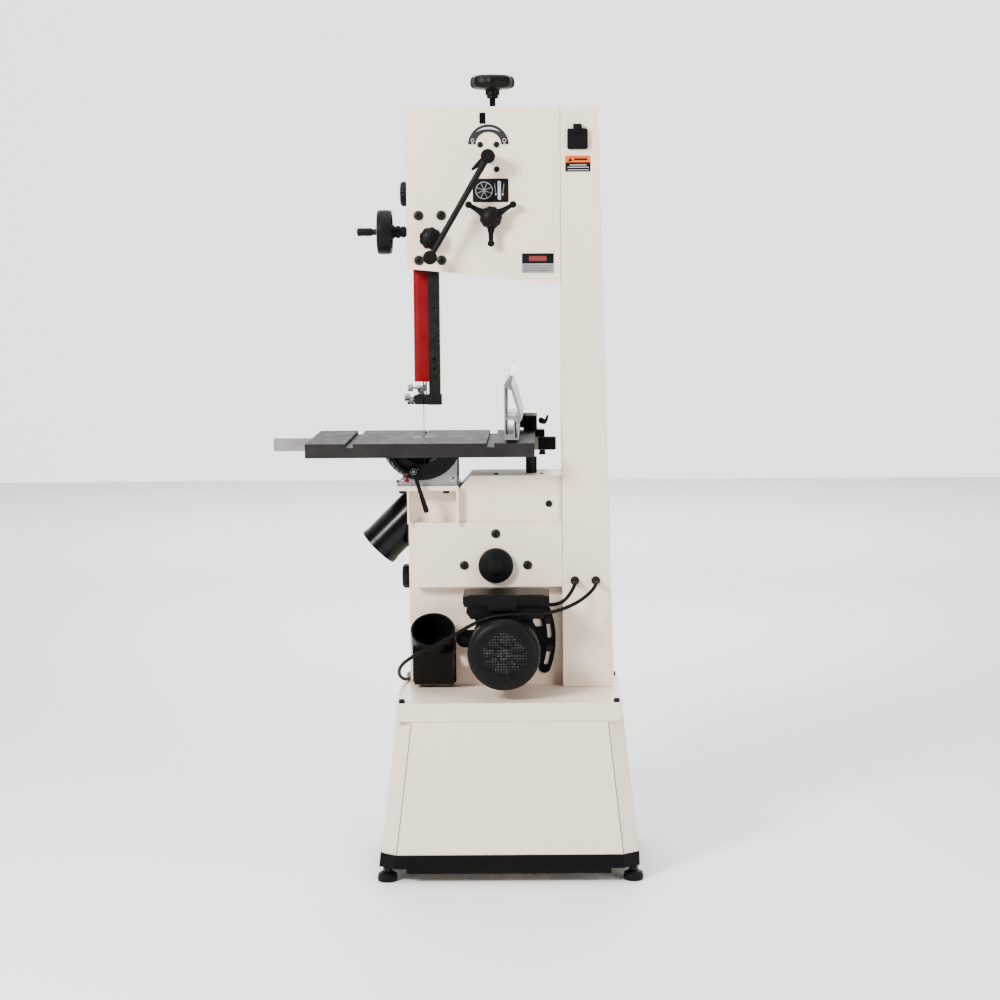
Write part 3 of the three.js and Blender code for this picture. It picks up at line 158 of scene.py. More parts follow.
def make_stage():
    mesh = bpy.data.meshes.new("floor")
    corners = [(x * FLOOR_HALF, y * FLOOR_HALF, 0) for x, y in ((-1, -1), (1, -1), (1, 1), (-1, 1))]
    mesh.from_pydata([Vector(corner) for corner in corners], [], [(0, 1, 2, 3)])
    floor = in_scene("floor", mesh)
    pale = bpy.data.materials.new("floor_pale")
    pale.use_nodes = True
    shader = pale.node_tree.nodes["Principled BSDF"]
    shader.inputs["Base Color"].default_value = (0.86, 0.86, 0.86, 1)
    shader.inputs["Roughness"].default_value = 0.7
    mesh.materials.append(pale)


def link(tree, source, output, target, socket):
    tree.links.new(source.outputs[output], target.inputs[socket])


def ramp(tree, source, output, low, high, from_low=0.3, from_high=0.7):
    """Maps a stretch of a node's values, by default a texture's middle ones, onto a range."""
    node = tree.nodes.new("ShaderNodeMapRange")
    node.inputs["From Min"].default_value = from_low
    node.inputs["From Max"].default_value = from_high
    node.inputs["To Min"].default_value = low
    node.inputs["To Max"].default_value = high
    link(tree, source, output, node, "Value")
    return node


def make_world():
    """A pale studio that is bright behind the saw and dim on the side it is looked at from."""
    world = bpy.data.worlds.new("studio")
    world.use_nodes = True
    tree = world.node_tree
    background = tree.nodes["Background"]
    background.inputs["Color"].default_value = (1.0, 0.995, 0.985, 1)
    coordinates = tree.nodes.new("ShaderNodeTexCoord")
    direction = tree.nodes.new("ShaderNodeSeparateXYZ")
    link(tree, coordinates, "Generated", direction, "Vector")
    strength = ramp(tree, direction, "Y", DIM_SIDE, BRIGHT_SIDE, -0.2, 1.0)
    link(tree, strength, "Result", background, "Strength")
    bpy.context.scene.world = world


def soft_light(name, position, target, size, watts):
    data = bpy.data.lights.new(name, "AREA")
    data.shape = "RECTANGLE"
    data.size, data.size_y = size
    data.energy = watts
    lamp = in_scene(name, data)
    lamp.location = at(*position)
    aim = at(*target) - lamp.location
    lamp.rotation_euler = aim.to_track_quat("-Z", "Y").to_euler()


make_stage()
make_world()
soft_light("key", (-2300, -3200, 3000), (150, 0, 950), (1.1, 1.1), 390)
soft_light("fill", (2900, -2600, 1500), (150, 0, 900), (2.0, 2.6), 110)
soft_light("top", (150, -400, 3600), (150, 0, 900), (2.4, 2.4), 90)
soft_light("front_side", (300, 3600, 2400), (150, 0, 900), (2.4, 2.4), 90)
soft_light("far_floor", (150, 6200, 3400), (150, 6300, 0), (6.0, 4.0), 420)

# ---- Materials ----


def noise(tree, coordinates, scale, detail, stretch=(1, 1, 1)):
    """A noise texture in the object's own metres, stretched along an axis where asked."""
    mapping = tree.nodes.new("ShaderNodeMapping")
    mapping.inputs["Scale"].default_value = stretch
    link(tree, coordinates, "Object", mapping, "Vector")
    texture = tree.nodes.new("ShaderNodeTexNoise")
    texture.inputs["Scale"].default_value = scale
    texture.inputs["Detail"].default_value = detail
    link(tree, mapping, "Vector", texture, "Vector")
    return texture


def surface(name, colour, roughness, mottle, grain, metallic=0.0, rough_spread=0.06,
            stretch=(1, 1, 1), specular=0.5, dust=0.0):
    """A finish whose colour and gloss drift over the surface, with a fine grain in its normal.

    mottle is how far the colour drifts, as a share of itself, and the drift's scale. grain is the
    grain's scale and the bump's strength, and stretch turns it into brush marks. dust lightens patches
    of a dark finish.
    """
    material = bpy.data.materials.new(name)
    material.use_nodes = True
    tree = material.node_tree
    shader = tree.nodes["Principled BSDF"]
    shader.inputs["Metallic"].default_value = metallic
    shader.inputs["Specular IOR Level"].default_value = specular
    coordinates = tree.nodes.new("ShaderNodeTexCoord")

    amount, scale = mottle
    drift = noise(tree, coordinates, scale, 4.0)
    mix = tree.nodes.new("ShaderNodeMix")
    mix.data_type = "RGBA"
    mix.inputs["A"].default_value = [c * (1 - amount) for c in colour] + [1]
    mix.inputs["B"].default_value = [min(1.0, c * (1 + amount) + dust) for c in colour] + [1]
    share = ramp(tree, drift, "Fac", 0.0, 1.0)
    link(tree, share, "Result", mix, "Factor")
    link(tree, mix, "Result", shader, "Base Color")

    patches = noise(tree, coordinates, scale * 2.7, 5.0)
    gloss = ramp(tree, patches, "Fac", roughness - rough_spread, roughness + rough_spread)
    link(tree, gloss, "Result", shader, "Roughness")

    grain_scale, grain_depth = grain
    texture = noise(tree, coordinates, grain_scale, 2.0, stretch)
    bump = tree.nodes.new("ShaderNodeBump")
    bump.inputs["Strength"].default_value = grain_depth
    bump.inputs["Distance"].default_value = 0.0006
    link(tree, texture, "Fac", bump, "Height")
    link(tree, bump, "Normal", shader, "Normal")
    return material


ALONG_X = (0.4, 9, 9)
ALONG_Y = (9, 0.4, 9)

CREAM = surface("cream_powder_coat", (0.78, 0.63, 0.50), 0.42, (0.025, 3), (520, 0.09),
                specular=0.45)
BLACK_PAINT = surface("black_powder_coat", (0.0022, 0.0020, 0.0018), 0.5, (0.15, 9),
                      (900, 0.3), specular=0.07, dust=0.0004)
BLACK_PLASTIC = surface("black_moulded_plastic", (0.0026, 0.0024, 0.0022), 0.45,
                        (0.12, 25), (1600, 0.22), specular=0.09, dust=0.0005)
GLOSS_BLACK = surface("glossy_black_plastic", (0.002, 0.002, 0.002), 0.2,
                      (0.1, 14), (220, 0.03), rough_spread=0.04, specular=0.16)
SATIN_BLACK = surface("satin_black_plastic", (0.003, 0.003, 0.003), 0.5,
                      (0.1, 14), (900, 0.15), rough_spread=0.05, specular=0.08)
RED_PAINT = surface("red_gloss_paint", (0.16, 0.0008, 0.0035), 0.36, (0.07, 18),
                    (420, 0.08), specular=0.15)
CAST_IRON = surface("ground_cast_iron", (0.017, 0.0155, 0.015), 0.6, (0.16, 16), (60, 0.12),
                    rough_spread=0.08, stretch=(1, 26, 1), specular=0.02, dust=0.002)
PAINTED_IRON = surface("painted_casting", (0.105, 0.115, 0.095), 0.5, (0.15, 30),
                       (500, 0.5), metallic=0.2)
ALUMINIUM = surface("extruded_aluminium", (0.30, 0.285, 0.28), 0.4, (0.07, 8), (70, 0.07),
                    metallic=0.9, rough_spread=0.08, stretch=ALONG_Y)
RAIL_ALUMINIUM = surface("rail_aluminium", (0.32, 0.31, 0.305), 0.4, (0.07, 8), (70, 0.07),
                         metallic=0.9, rough_spread=0.08, stretch=ALONG_X)
CAST_ALUMINIUM = surface("cast_aluminium", (0.36, 0.35, 0.345), 0.46, (0.12, 30),
                         (420, 0.35), metallic=0.85)
INSERT_ALLOY = surface("dull_insert_alloy", (0.055, 0.052, 0.048), 0.62, (0.12, 40),
                       (160, 0.12), stretch=(1, 14, 1), specular=0.08)
BRIGHT_STEEL = surface("bright_steel", (0.40, 0.39, 0.38), 0.28, (0.08, 40),
                       (180, 0.06), metallic=1.0, rough_spread=0.07, stretch=(1, 12, 1))
BLADE_STEEL = surface("blade_steel", (0.055, 0.052, 0.05), 0.55, (0.1, 30), (200, 0.06),
                      stretch=(1, 1, 9), specular=0.1)
CHROME = surface("chrome_plate", (0.36, 0.355, 0.35), 0.2, (0.04, 60), (300, 0.02),
                 metallic=1.0, rough_spread=0.04)
BLACK_STEEL = surface("black_oxide_steel", (0.006, 0.0052, 0.0048), 0.42, (0.2, 35),
                      (700, 0.2), metallic=0.15, rough_spread=0.08, specular=0.15, dust=0.0015)
TYRE_RUBBER = surface("tyre_rubber", (0.012, 0.012, 0.012), 0.7, (0.2, 20), (400, 0.35),
                      specular=0.25, dust=0.003)
BELT_RUBBER = surface("belt_rubber", (0.009, 0.009, 0.009), 0.62, (0.15, 50), (600, 0.3),
                      specular=0.25)
CORD_RUBBER = surface("cord_jacket", (0.0015, 0.0015, 0.0015), 0.45, (0.1, 40),
                      (900, 0.12), specular=0.08)
WHITE_INK = surface("white_print", (0.52, 0.52, 0.51), 0.5, (0.03, 9), (700, 0.05))
BLACK_INK = surface("black_print", (0.0025, 0.0025, 0.0025), 0.35, (0.1, 9),
                    (700, 0.03), specular=0.2)
GREY_INK = surface("grey_print", (0.022, 0.020, 0.018), 0.5, (0.06, 9), (700, 0.03),
                   specular=0.1)
ORANGE_INK = surface("orange_print", (0.50, 0.085, 0.0), 0.45, (0.04, 9), (700, 0.03))
RED_INK = surface("red_print", (0.14, 0.008, 0.006), 0.5, (0.04, 9), (700, 0.03))
# Painted shade: the colour of the shadow lines drawn along the sheets' seams.
SEAM_SHADE = surface("shaded_seam", (0.16, 0.14, 0.12), 0.7, (0.1, 9), (700, 0.05),
                     specular=0.1)

# ---- Geometry, all in the saw's millimetres ----


def smooth_by_angle(mesh, degrees):
    """Shades a mesh smooth except across edges sharper than the angle."""
    mesh.polygons.foreach_set("use_smooth", [True] * len(mesh.polygons))
    mesh.set_sharp_from_angle(angle=math.radians(degrees))


def bevel(piece, width, degrees=32):
    modifier = piece.modifiers.new("edges", "BEVEL")
    modifier.width = width * MM
    modifier.segments = 2
    modifier.limit_method = "ANGLE"
    modifier.angle_limit = math.radians(degrees)
    modifier.harden_normals = True


def place(name, parts, material, body="frame", replaces=None, edge=0.0, sharp=32):
    """Joins bmesh parts into one piece of the saw that rides on a body."""
    whole = bmesh.new()
    for part in parts if isinstance(parts, list) else [parts]:
        scratch = bpy.data.meshes.new("scratch")
        part.to_mesh(scratch)
        whole.from_mesh(scratch)
        bpy.data.meshes.remove(scratch)
        part.free()
    moved(whole, Matrix.Translation(ORIGIN) @ Matrix.Scale(MM, 4))
    mesh = bpy.data.meshes.new(name)
    whole.to_mesh(mesh)
    whole.free()
    mesh.materials.append(material)
    smooth_by_angle(mesh, sharp)
    piece = in_scene(name, mesh)
    if edge:
        bevel(piece, edge)
    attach(piece, body)
    if replaces:
        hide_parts(replaces)
    return piece


def moved(part, matrix):
    bmesh.ops.transform(part, matrix=matrix, verts=part.verts)
    return part


def swung(part, x, z, angle):
    """Turns a part about the Y axis, in radians, and carries it to a place on the rear."""
    return moved(part, Matrix.Translation((x, 0, z)) @ Matrix.Rotation(angle, 4, "Y"))


# A place (u, v) across an axis and w along it. The place is (Y, Z) for X, (X, Z) for Y, (X, Y) for Z.
ON_AXIS = {
    "X": lambda u, v, w: (w, u, v),
    "Y": lambda u, v, w: (u, w, v),
    "Z": lambda u, v, w: (u, v, w),
}


def lathe(profile, axis, centre, segments, lobes=0, depth=0.0):
    """A profile of (radius, place along the axis) turned about the axis through the centre.

    The profile runs from the axis back to the axis, or closes on itself. lobes flutes, depth deep as a
    share of the radius, run along it.
    """
    part = bmesh.new()
    rings = []
    closed = profile[0] == profile[-1]
    for radius, height in profile[:-1] if closed else profile:
        if radius == 0:
            rings.append([part.verts.new((0, 0, height))])
            continue
        ring = []
        for i in range(segments):
            angle = 2 * math.pi * i / segments
            reach = radius * (1 - depth * (0.5 - 0.5 * math.cos(lobes * angle)) ** 2)
            ring.append(part.verts.new((reach * math.cos(angle), reach * math.sin(angle), height)))
        rings.append(ring)
    if closed:
        rings.append(rings[0])
    for low, high in zip(rings, rings[1:]):
        for i in range(segments):
            j = (i + 1) % segments
            if len(low) == 1 and len(high) > 1:
                part.faces.new((low[0], high[j], high[i]))
            elif len(high) == 1 and len(low) > 1:
                part.faces.new((low[i], low[j], high[0]))
            elif len(low) > 1:
                part.faces.new((low[i], low[j], high[j], high[i]))
    turn = {"X": Matrix.Rotation(math.pi / 2, 4, "Y"), "Y": Matrix.Rotation(-math.pi / 2, 4, "X")}
    moved(part, Matrix.Translation(ON_AXIS[axis](*centre, 0)) @ turn.get(axis, Matrix.Identity(4)))
    bmesh.ops.recalc_face_normals(part, faces=part.faces)
    return part


def rod(axis, centre, radius, start, end, segments, chamfer=0.6):
    """A cylinder with chamfered ends."""
    c = min(chamfer, radius / 3, abs(end - start) / 3)
    profile = [(0, start), (radius - c, start), (radius, start + c), (radius, end - c),
               (radius - c, end), (0, end)]
    return lathe(profile, axis, centre, segments)


def block(x0, x1, y0, y1, z0, z1):
    part = bmesh.new()
    corners = [part.verts.new((x, y, z)) for x in (x0, x1) for y in (y0, y1) for z in (z0, z1)]
    for face in ((0, 1, 3, 2), (4, 6, 7, 5), (0, 4, 5, 1), (2, 3, 7, 6), (0, 2, 6, 4), (1, 5, 7, 3)):
        part.faces.new([corners[i] for i in face])
    bmesh.ops.recalc_face_normals(part, faces=part.faces)
    return part


def prism(outline, axis, start, end, holes=()):
    """A flat outline pushed along an axis."""
    loops = [outline, *holes]
    flat = ON_AXIS[axis]
    part = bmesh.new()
    low = [[part.verts.new(flat(u, v, start)) for u, v in loop] for loop in loops]
    high = [[part.verts.new(flat(u, v, end)) for u, v in loop] for loop in loops]
    for bottom, top in zip(low, high):
        for i in range(len(bottom)):
            j = (i + 1) % len(bottom)
            part.faces.new((bottom[i], bottom[j], top[j], top[i]))
    triangles = tessellate_polygon([[Vector((u, v, 0)) for u, v in loop] for loop in loops])
    for side in (low, high):
        flat_list = [vertex for loop in side for vertex in loop]
        for triangle in triangles:
            part.faces.new([flat_list[i] for i in triangle])
    bmesh.ops.recalc_face_normals(part, faces=part.faces)
    bmesh.ops.dissolve_limit(part, angle_limit=0.01, verts=part.verts, edges=part.edges)
    return part


def arc(u, v, radius, start, end, steps):
    """Points along an arc between two angles, in degrees."""
    angles = [math.radians(start + (end - start) * i / steps) for i in range(steps + 1)]
    return [(u + radius * math.cos(a), v + radius * math.sin(a)) for a in angles]


def circle(u, v, radius, segments):
    return arc(u, v, radius, 0, 360, segments)[:-1]


def rounded(u0, u1, v0, v1, radius):
    """A rectangle with round corners."""
    left, right, low, high = u0 + radius, u1 - radius, v0 + radius, v1 - radius
    corners = [(right, low, -90), (right, high, 0), (left, high, 90), (left, low, 180)]
    return [point for u, v, first in corners for point in arc(u, v, radius, first, first + 90, 5)]


def arc_band(u, v, inner, outer, start, end, steps):
    """A band of a ring between two angles, in degrees."""
    return arc(u, v, outer, start, end, steps) + arc(u, v, inner, end, start, steps)


def panel(u0, u1, v0, v1, radius, start, end, holes=()):
    """A plate with round corners that faces the rear."""
    return prism(rounded(u0, u1, v0, v1, radius), "Y", start, end, holes)


# ---- Cords ----

LEAD_ROUTE = [
    (LEAD_GLAND_X, -122.5, GLAND_Z), (372, -137, 695), (366, -150, 684), (356, -160, 670),
    (343, -167, 658.5), (326, -170, 652), (304.6, -170, 650),
]
CORD_ROUTE = [
    (CORD_GLAND_X, -122.8, GLAND_Z), (CORD_GLAND_X, -134, 698), (422, -147, 693), (412, -162, 682),
    (394, -178, 668.5), (367, -197, 655), (331, -222, 645), (292, -248, 641.5), (250, -262, 641.5),
    (205, -266, 641), (163, -263, 634), (125, -253, 617), (88, -235, 593), (56, -219, 572),
    (24, -204, 554), (-8, -187, 536), (-36, -165, 516), (-55, -136, 495), (-63, -103, 474),
    (-61, -68, 455), (-53.5, -34, 442.5), (-47, -4, 438), (-44.8, 22, 437.6), (-44.3, 44, 439.4),
    (-44.3, 60, 440.8), (-44.1, 77, 437), (-43.6, 90.6, 426.4), (-42.5, 98.6, 411), (-40.2, 101.5, 393),
    (-33, 106, 350), (-19, 113, 295), (-0.5, 121, 230), (17, 126, 160), (33, 130, 100), (50, 135, 50),
    (72, 140, 18), (96, 141, 6.5), (116, 139, 4.9), (131, 138, 4.8),
]


def coil_turns():
    """Four turns: outer and inner on the floor, then inner and outer on top of them."""
    half = CORD_DIAMETER / 2
    outer, inner = COIL_RADIUS + half, COIL_RADIUS - half
    low, high = COIL_FLOOR, COIL_FLOOR + CORD_DIAMETER
    stages = [(outer, low), (outer, low), (inner, low), (inner, high), (outer, high)]
    steps = 18
    blend_steps = 5
    points = []
    for before, after in zip(stages, stages[1:]):
        for i in range(steps):
            share = min(1.0, i / blend_steps)
            share = share * share * (3 - 2 * share)
            radius = before[0] + (after[0] - before[0]) * share
            height = before[1] + (after[1] - before[1]) * share
            angle = -math.pi / 2 + 2 * math.pi * i / steps
            points.append((COIL_CENTRE[0] + radius * math.cos(angle),
                           COIL_CENTRE[1] + radius * math.sin(angle), height))
    return points


def cord_curve(name, points):
    data = bpy.data.curves.new(name, "CURVE")
    data.dimensions = "3D"
    data.bevel_depth = CORD_DIAMETER / 2 * MM
    data.bevel_resolution = 5
    data.resolution_u = 6
    data.use_fill_caps = True
    spline = data.splines.new("BEZIER")
    spline.bezier_points.add(len(points) - 1)
    for knot, point in zip(spline.bezier_points, points):
        knot.co = at(*point)
        knot.handle_left_type = "AUTO"
        knot.handle_right_type = "AUTO"
    data.materials.append(CORD_RUBBER)
    piece = in_scene(name, data)
    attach(piece, "frame")
    return piece


def ribbed_relief(name, x, tip_y, replaces=None):
    """A screwed gland with a tapered, ribbed strain relief, pointing towards -Y."""
    base_y = GLAND_BASE
    nut = base_y - 9
    profile = [(0, base_y), (11, base_y), (11, base_y - 2), (9.6, base_y - 2.6), (9.6, nut), (8.2, nut - 1)]
    ribs = 5
    step = (nut - 1 - tip_y) / ribs
    for i in range(ribs):
        y = nut - 1 - (nut - 1 - tip_y) * (i + 0.15) / ribs
        radius = 8.2 - 2.6 * i / ribs
        profile += [(radius, y), (radius, y - step * 0.5), (radius - 1.1, y - step * 0.58),
                    (radius - 1.1, y - step * 0.8)]
    profile += [(5.6, tip_y), (0, tip_y)]
    parts = [lathe(profile, "Y", (x, GLAND_Z), 36),
             prism(circle(x, GLAND_Z, 11, 6), "Y", base_y - 8.5, base_y - 2.5)]
    return place(name, parts, BLACK_PLASTIC, replaces=replaces, edge=0.4)


def make_cords():
    lead = cord_curve("motor_lead_cord", LEAD_ROUTE)
    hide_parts("motor_lead")
    lead_gland = ribbed_relief("lead_gland", LEAD_GLAND_X, -122.5)

    ease_in = [(145, 134.4, 4.8), (160, 132.1, 4.8)]
    ease_out = [(192, 134.2, 13.8), (206, 142, 14.3), (219, 154, 15.2), (231, 167, 16.4),
                (240, 173.5, 17.2), PLUG_ENTRY]
    points = CORD_ROUTE + ease_in + coil_turns() + [(175, 131.5, 13.8)] + ease_out
    cord = cord_curve("mains_cord", points)
    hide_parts("power_cord", "power_cord_coil")
    gland = ribbed_relief("mains_gland", CORD_GLAND_X, -122.0, "power_cord_gland")
    extras = [gland, cord_tie(), mains_plug()]


def cord_tie():
    """A hook-and-loop strap round the coil's bundle of turns."""
    half = CORD_DIAMETER + 0.1
    x, y = COIL_CENTRE[0] - COIL_RADIUS, COIL_CENTRE[1]
    z = COIL_FLOOR + CORD_DIAMETER / 2
    outside = rounded(x - half - 1.1, x + half + 1.1, 0.05, z + half + 1.0, 4.5)
    inside = rounded(x - half, x + half, 0.25, z + half, 3.6)
    parts = [prism(outside, "Y", y - 8, y + 8, [inside]),
             block(x + half + 0.2, x + half + 2.2, y - 7.4, y + 7.4, 2, 15)]
    return place("cord_tie", parts, TYRE_RUBBER, edge=0.3)


def mains_plug():
    """A moulded three-pin plug lying on its side on the floor."""
    x, y, z = PLUG_ENTRY
    profile = [(0, 0), (6.6, 0), (7.2, 1.5), (6.6, 3), (7.6, 5), (7, 6.5), (9, 9), (13.5, 13),
               (16.6, 19), (17, 24), (15.4, 30), (16.4, 36), (16.8, 40), (16, 42), (0, 42)]
    grip = lathe([(radius, x + reach) for radius, reach in profile], "X", (y, z), 40)
    body = place("plug_body", grip, BLACK_PLASTIC, replaces="power_plug")
    pins = [block(x + 41, x + 60, y + side - 0.8, y + side + 0.8, z, z + 6.5) for side in (-6.3, 6.3)]
    pins.append(rod("X", (y, z - 6), 2.4, x + 41, x + 62, 20))
    pins = place("plug_pins", pins, BRIGHT_STEEL, edge=0.25)
    pins.parent = body
    pins.matrix_parent_inverse = Matrix.Identity(4)
    return body


make_cords()

# ---- Small parts that repeat ----


def button_bolt(x, z, face, radius, tall):
    """A button-head socket screw on a rear face, pointing towards -Y."""
    socket = 0.42 * radius
    profile = [(0, face), (radius, face), (radius, face - 0.3 * tall), (0.86 * radius, face - 0.75 * tall),
               (0.6 * radius, face - tall), (socket, face - tall), (socket * 0.9, face - 0.4 * tall),
               (0, face - 0.4 * tall)]
    return lathe(profile, "Y", (x, z), 30)


def washer(x, z, face, radius, thickness=1.6):
    return rod("Y", (x, z), radius, face - thickness, face, 32, 0.4)


def hexagon(u, v, across):
    return circle(u, v, across / math.sqrt(3), 6)


def standing_bolt(x, y, z):
    """A hexagon head with its washer, standing on a face that looks up."""
    return [rod("Z", (x, y), 8.2, z, z + 1.6, 30, 0.4),
            prism(hexagon(x, y, 13), "Z", z + 1.4, z + 8.6),
            rod("Z", (x, y), 5.6, z + 8, z + 9.4, 24, 0.8)]


# ---- Upper housing: controls ----


def make_tension_knob():
    head = [(0, 1897), (40, 1897.5), (49, 1900), (53, 1904.5), (54.3, 1911), (54, 1918), (51.5, 1925),
            (46, 1929), (38, TENSION_TOP), (24, 1929.6), (16, 1926), (0, 1925)]
    neck = [(0, 1875), (12, 1875), (14, 1877), (14, 1882), (17.5, 1884), (17.5, 1894), (22, 1898), (0, 1898)]
    rim = [lathe(head, "Z", TENSION_SCREW, 144, lobes=8, depth=0.055), lathe(neck, "Z", TENSION_SCREW, 48)]
    place("tension_handwheel_rim", rim, BLACK_PLASTIC, "tension_handwheel", "tension_knob")
    screw = [(0, 1672), (8, 1672)]
    for z in range(1857, 1875, 2):
        screw += [(8, z), (7.1, z + 1)]
    screw += [(8, 1876), (0, 1876)]
    place("tension_screw", lathe(screw, "Z", TENSION_SCREW, 32), BLACK_STEEL, "tension_handwheel")
    collar = [(9, 1854), (19, 1854), (19, 1855.5), (13, 1857), (9, 1857), (9, 1854)]
    place("tension_screw_collar", lathe(collar, "Z", TENSION_SCREW, 40), BLACK_STEEL)


def make_tracking_knob():
    x, z = TRACKING_HUB
    dome = [(0, -141), (9, -140.4), (18, -137), (24.5, -131), (27.5, -124), (27.5, -117), (24, -111),
            (17, -107), (14, -104), (14, -95.4), (0, -95.4)]
    parts = [lathe(dome, "Y", TRACKING_HUB, 132, lobes=11, depth=0.05),
             rod("Y", TRACKING_HUB, 5.6, -96, -86, 24)]
    outline = [(20, -10.5), (40, -6.2), (58, -5.2), (58, 5.2), (40, 6.2), (20, 10.5)]
    tip = [(0, -128), (6.2, -128), (8.4, -126), (8.6, -114), (7.4, -112), (0, -112)]
    dimple = [(2.6, -128.6), (5, -128.6), (5, -127.5), (2.6, -127.5), (2.6, -128.6)]
    for degrees in (-90, 30, 150):
        arm = [prism(outline, "Y", -125.5, -114.5), lathe(tip, "Y", (62, 0), 32),
               lathe(dimple, "Y", (62, 0), 24)]
        parts += [swung(part, x, z, -math.radians(degrees)) for part in arm]
    place("tracking_star_knob", parts, BLACK_PLASTIC, "tracking_handle", "tracking_knob", 1.2, 40)


def make_release_lever():
    x, z = RELEASE_HUB
    dx, dz = RELEASE_END[0] - x, RELEASE_END[1] - z
    reach = math.hypot(dx, dz)
    hub = [(0, -170), (15.5, -170), (17.4, -168), (17.6, -150), (16, -148), (13, -146), (13, -95.4),
           (7.6, -95.2), (7.6, -86.5), (0, -86.5)]
    arm = [(0, 8), (8.4, 8), (7.6, 40), (7.2, reach - 30), (6.6, reach - 10), (0, reach - 10)]
    grip = [(0, -168), (14.5, -168), (17, -165.5), (17.4, -150), (15.5, -147), (0, -147)]
    prong = [(10, -9), (30, -7), (49, -3.6), (51, 0), (49, 3), (30, 5.5), (6, 8)]
    parts = [lathe(hub, "Y", (0, 0), 96, lobes=24, depth=0.02), lathe(arm, "X", (-156, 0), 32),
             lathe(grip, "Y", (reach, 0), 96, lobes=24, depth=0.02),
             swung(prism(prong, "Y", -151, -145), 0, 0, math.radians(20))]
    parts = [swung(part, x, z, -math.atan2(dz, dx)) for part in parts]
    place("release_lever_arm", parts, BLACK_PLASTIC, "release_lever", "quick_release_lever", 0.6, 40)


def make_lock_knob():
    profile = [(0, -138), (9, -137.6), (18, -135), (24.5, -130), (27.6, -123), (27.6, -115), (24, -108),
               (16, -104.5), (11, -104), (11, -95.4), (0, -95.4)]
    parts = [lathe(profile, "Y", LOCK_STUD, 144, lobes=9, depth=0.075),
             rod("Y", LOCK_STUD, 5.6, -96, -86.5, 24)]
    place("lock_knob", parts, BLACK_PLASTIC, "post_lock", "post_lock_knob")


def make_handwheel():
    profile = [(0, -103.5), (9, -103.5), (14, -101), (20, -99), (26, -95), (36, -90), (43, -90),
               (45.5, -97), (48, -101), (51, -102.6), (53.2, -100), (54, -94), (54, -77), (52.5, -70),
               (49, -68), (44, -69), (40, -73), (26, -77), (19, -75), (17, -70), (17, -62),
               (13.5, -61), (13.5, -57), (15.5, -56), (15.5, -49), (12.5, -48), (12.5, -44), (14, -43),
               (14, -36), (11, -35), (11, -31), (7, -30.8), (7, 20), (11.5, 20), (11.5, 42.8), (0, 42.8)]
    wheel = lathe(profile, "X", (PINION_Y, PINION_Z), 96)
    place("post_handwheel_disc", wheel, BLACK_PLASTIC, "handwheel", "post_handwheel", sharp=28)
    grip = [(0, -150), (7, -149.8), (9.4, -148), (10, -145), (9.6, -132), (10, -119), (9, -114),
            (7, -111), (8, -106), (8, -104.3), (0, -104.3)]
    handle = lathe(grip, "X", (CRANK_Y, PINION_Z), 48)
    place("crank_grip", handle, BLACK_PLASTIC, "crank_handle", "handwheel_crank_handle")


def make_latches():
    profile = [(0, 0), (11.5, 0), (11.5, -3), (26, -4), (30, -6), (31, -9), (31, -20), (29.5, -23),
               (25, -25.8), (12, -26), (9, -24.5), (0, -24.5)]
    for name, wall, z in (("upper", UPPER_LEFT - 0.3, 1650), ("lower", LOWER_LEFT - 0.3, 685)):
        outside = [(radius, wall + height) for radius, height in profile]
        knob = lathe(outside, "X", (LATCH_Y, z), 168, lobes=14, depth=0.05)
        place(f"{name}_latch_grip", knob, BLACK_PLASTIC, f"{name}_latch", f"{name}_door_latch_knob")


# ---- Upper housing: plates and bolts ----


def make_upper_bolts():
    small = [(149, 1763), (188.5, 1763), (149.5, 1704), (188.5, 1704)]
    large = [(x, z) for x in (-2, 53) for z in (1486, 1594)]
    bolts = [button_bolt(x, z, REAR, 7.4, 4.5) for x, z in small]
    bolts += [button_bolt(x, z, REAR - 1.5, 11, 6.5) for x, z in large]
    bolts += [washer(x, z, REAR, 12.2) for x, z in large]
    place("upper_rear_bolts", bolts, BLACK_STEEL, edge=0.3)


def make_tension_gauge():
    u, v = GAUGE
    plate = prism(arc_band(u, v, 31, 49.5, 2, 178, 48), "Y", REAR - 0.8, REAR)
    place("gauge_plate", plate, GREY_INK)
    radius = 42.5
    crescent = arc(u, v, radius, 48, 132, 24)
    for i in range(1, 24):
        a = math.radians(132 - 84 * (i / 24))
        r = radius - 4.2 * math.sin(math.pi * (i / 24))
        crescent.append((u + r * math.cos(a), v + r * math.sin(a)))
    outside, inside = REAR - 1.0, REAR - 0.8
    marks = [prism(crescent, "Y", outside, inside)]
    for x in (u - 38.5, u + 38.5):
        marks.append(ring(x, v + 11, 4.2, 0.9, inside, 24))
        marks.append(prism(circle(x, v + 3.5, 1.8, 16), "Y", outside, inside))
    place("gauge_marks", marks, WHITE_INK)


def make_slot_window():
    rim = panel(147.5, 162.5, 1812.5, 1839.5, 1.5, REAR - 1.2, REAR + 0.1,
                [rounded(149.5, 160.5, 1815, 1837, 1)])
    place("gauge_window_rim", rim, BLACK_PLASTIC, edge=0.4)
    pane = panel(149, 161, 1814.5, 1837.5, 1, REAR + 0.4, REAR + 2.4)
    place("gauge_window_pane", pane, GLOSS_BLACK)


def ring(u, v, radius, width, face, segments=40):
    """A ring printed on a rear face."""
    return prism(circle(u, v, radius, segments), "Y", face - 0.2, face,
                 [circle(u, v, radius - width, segments)])


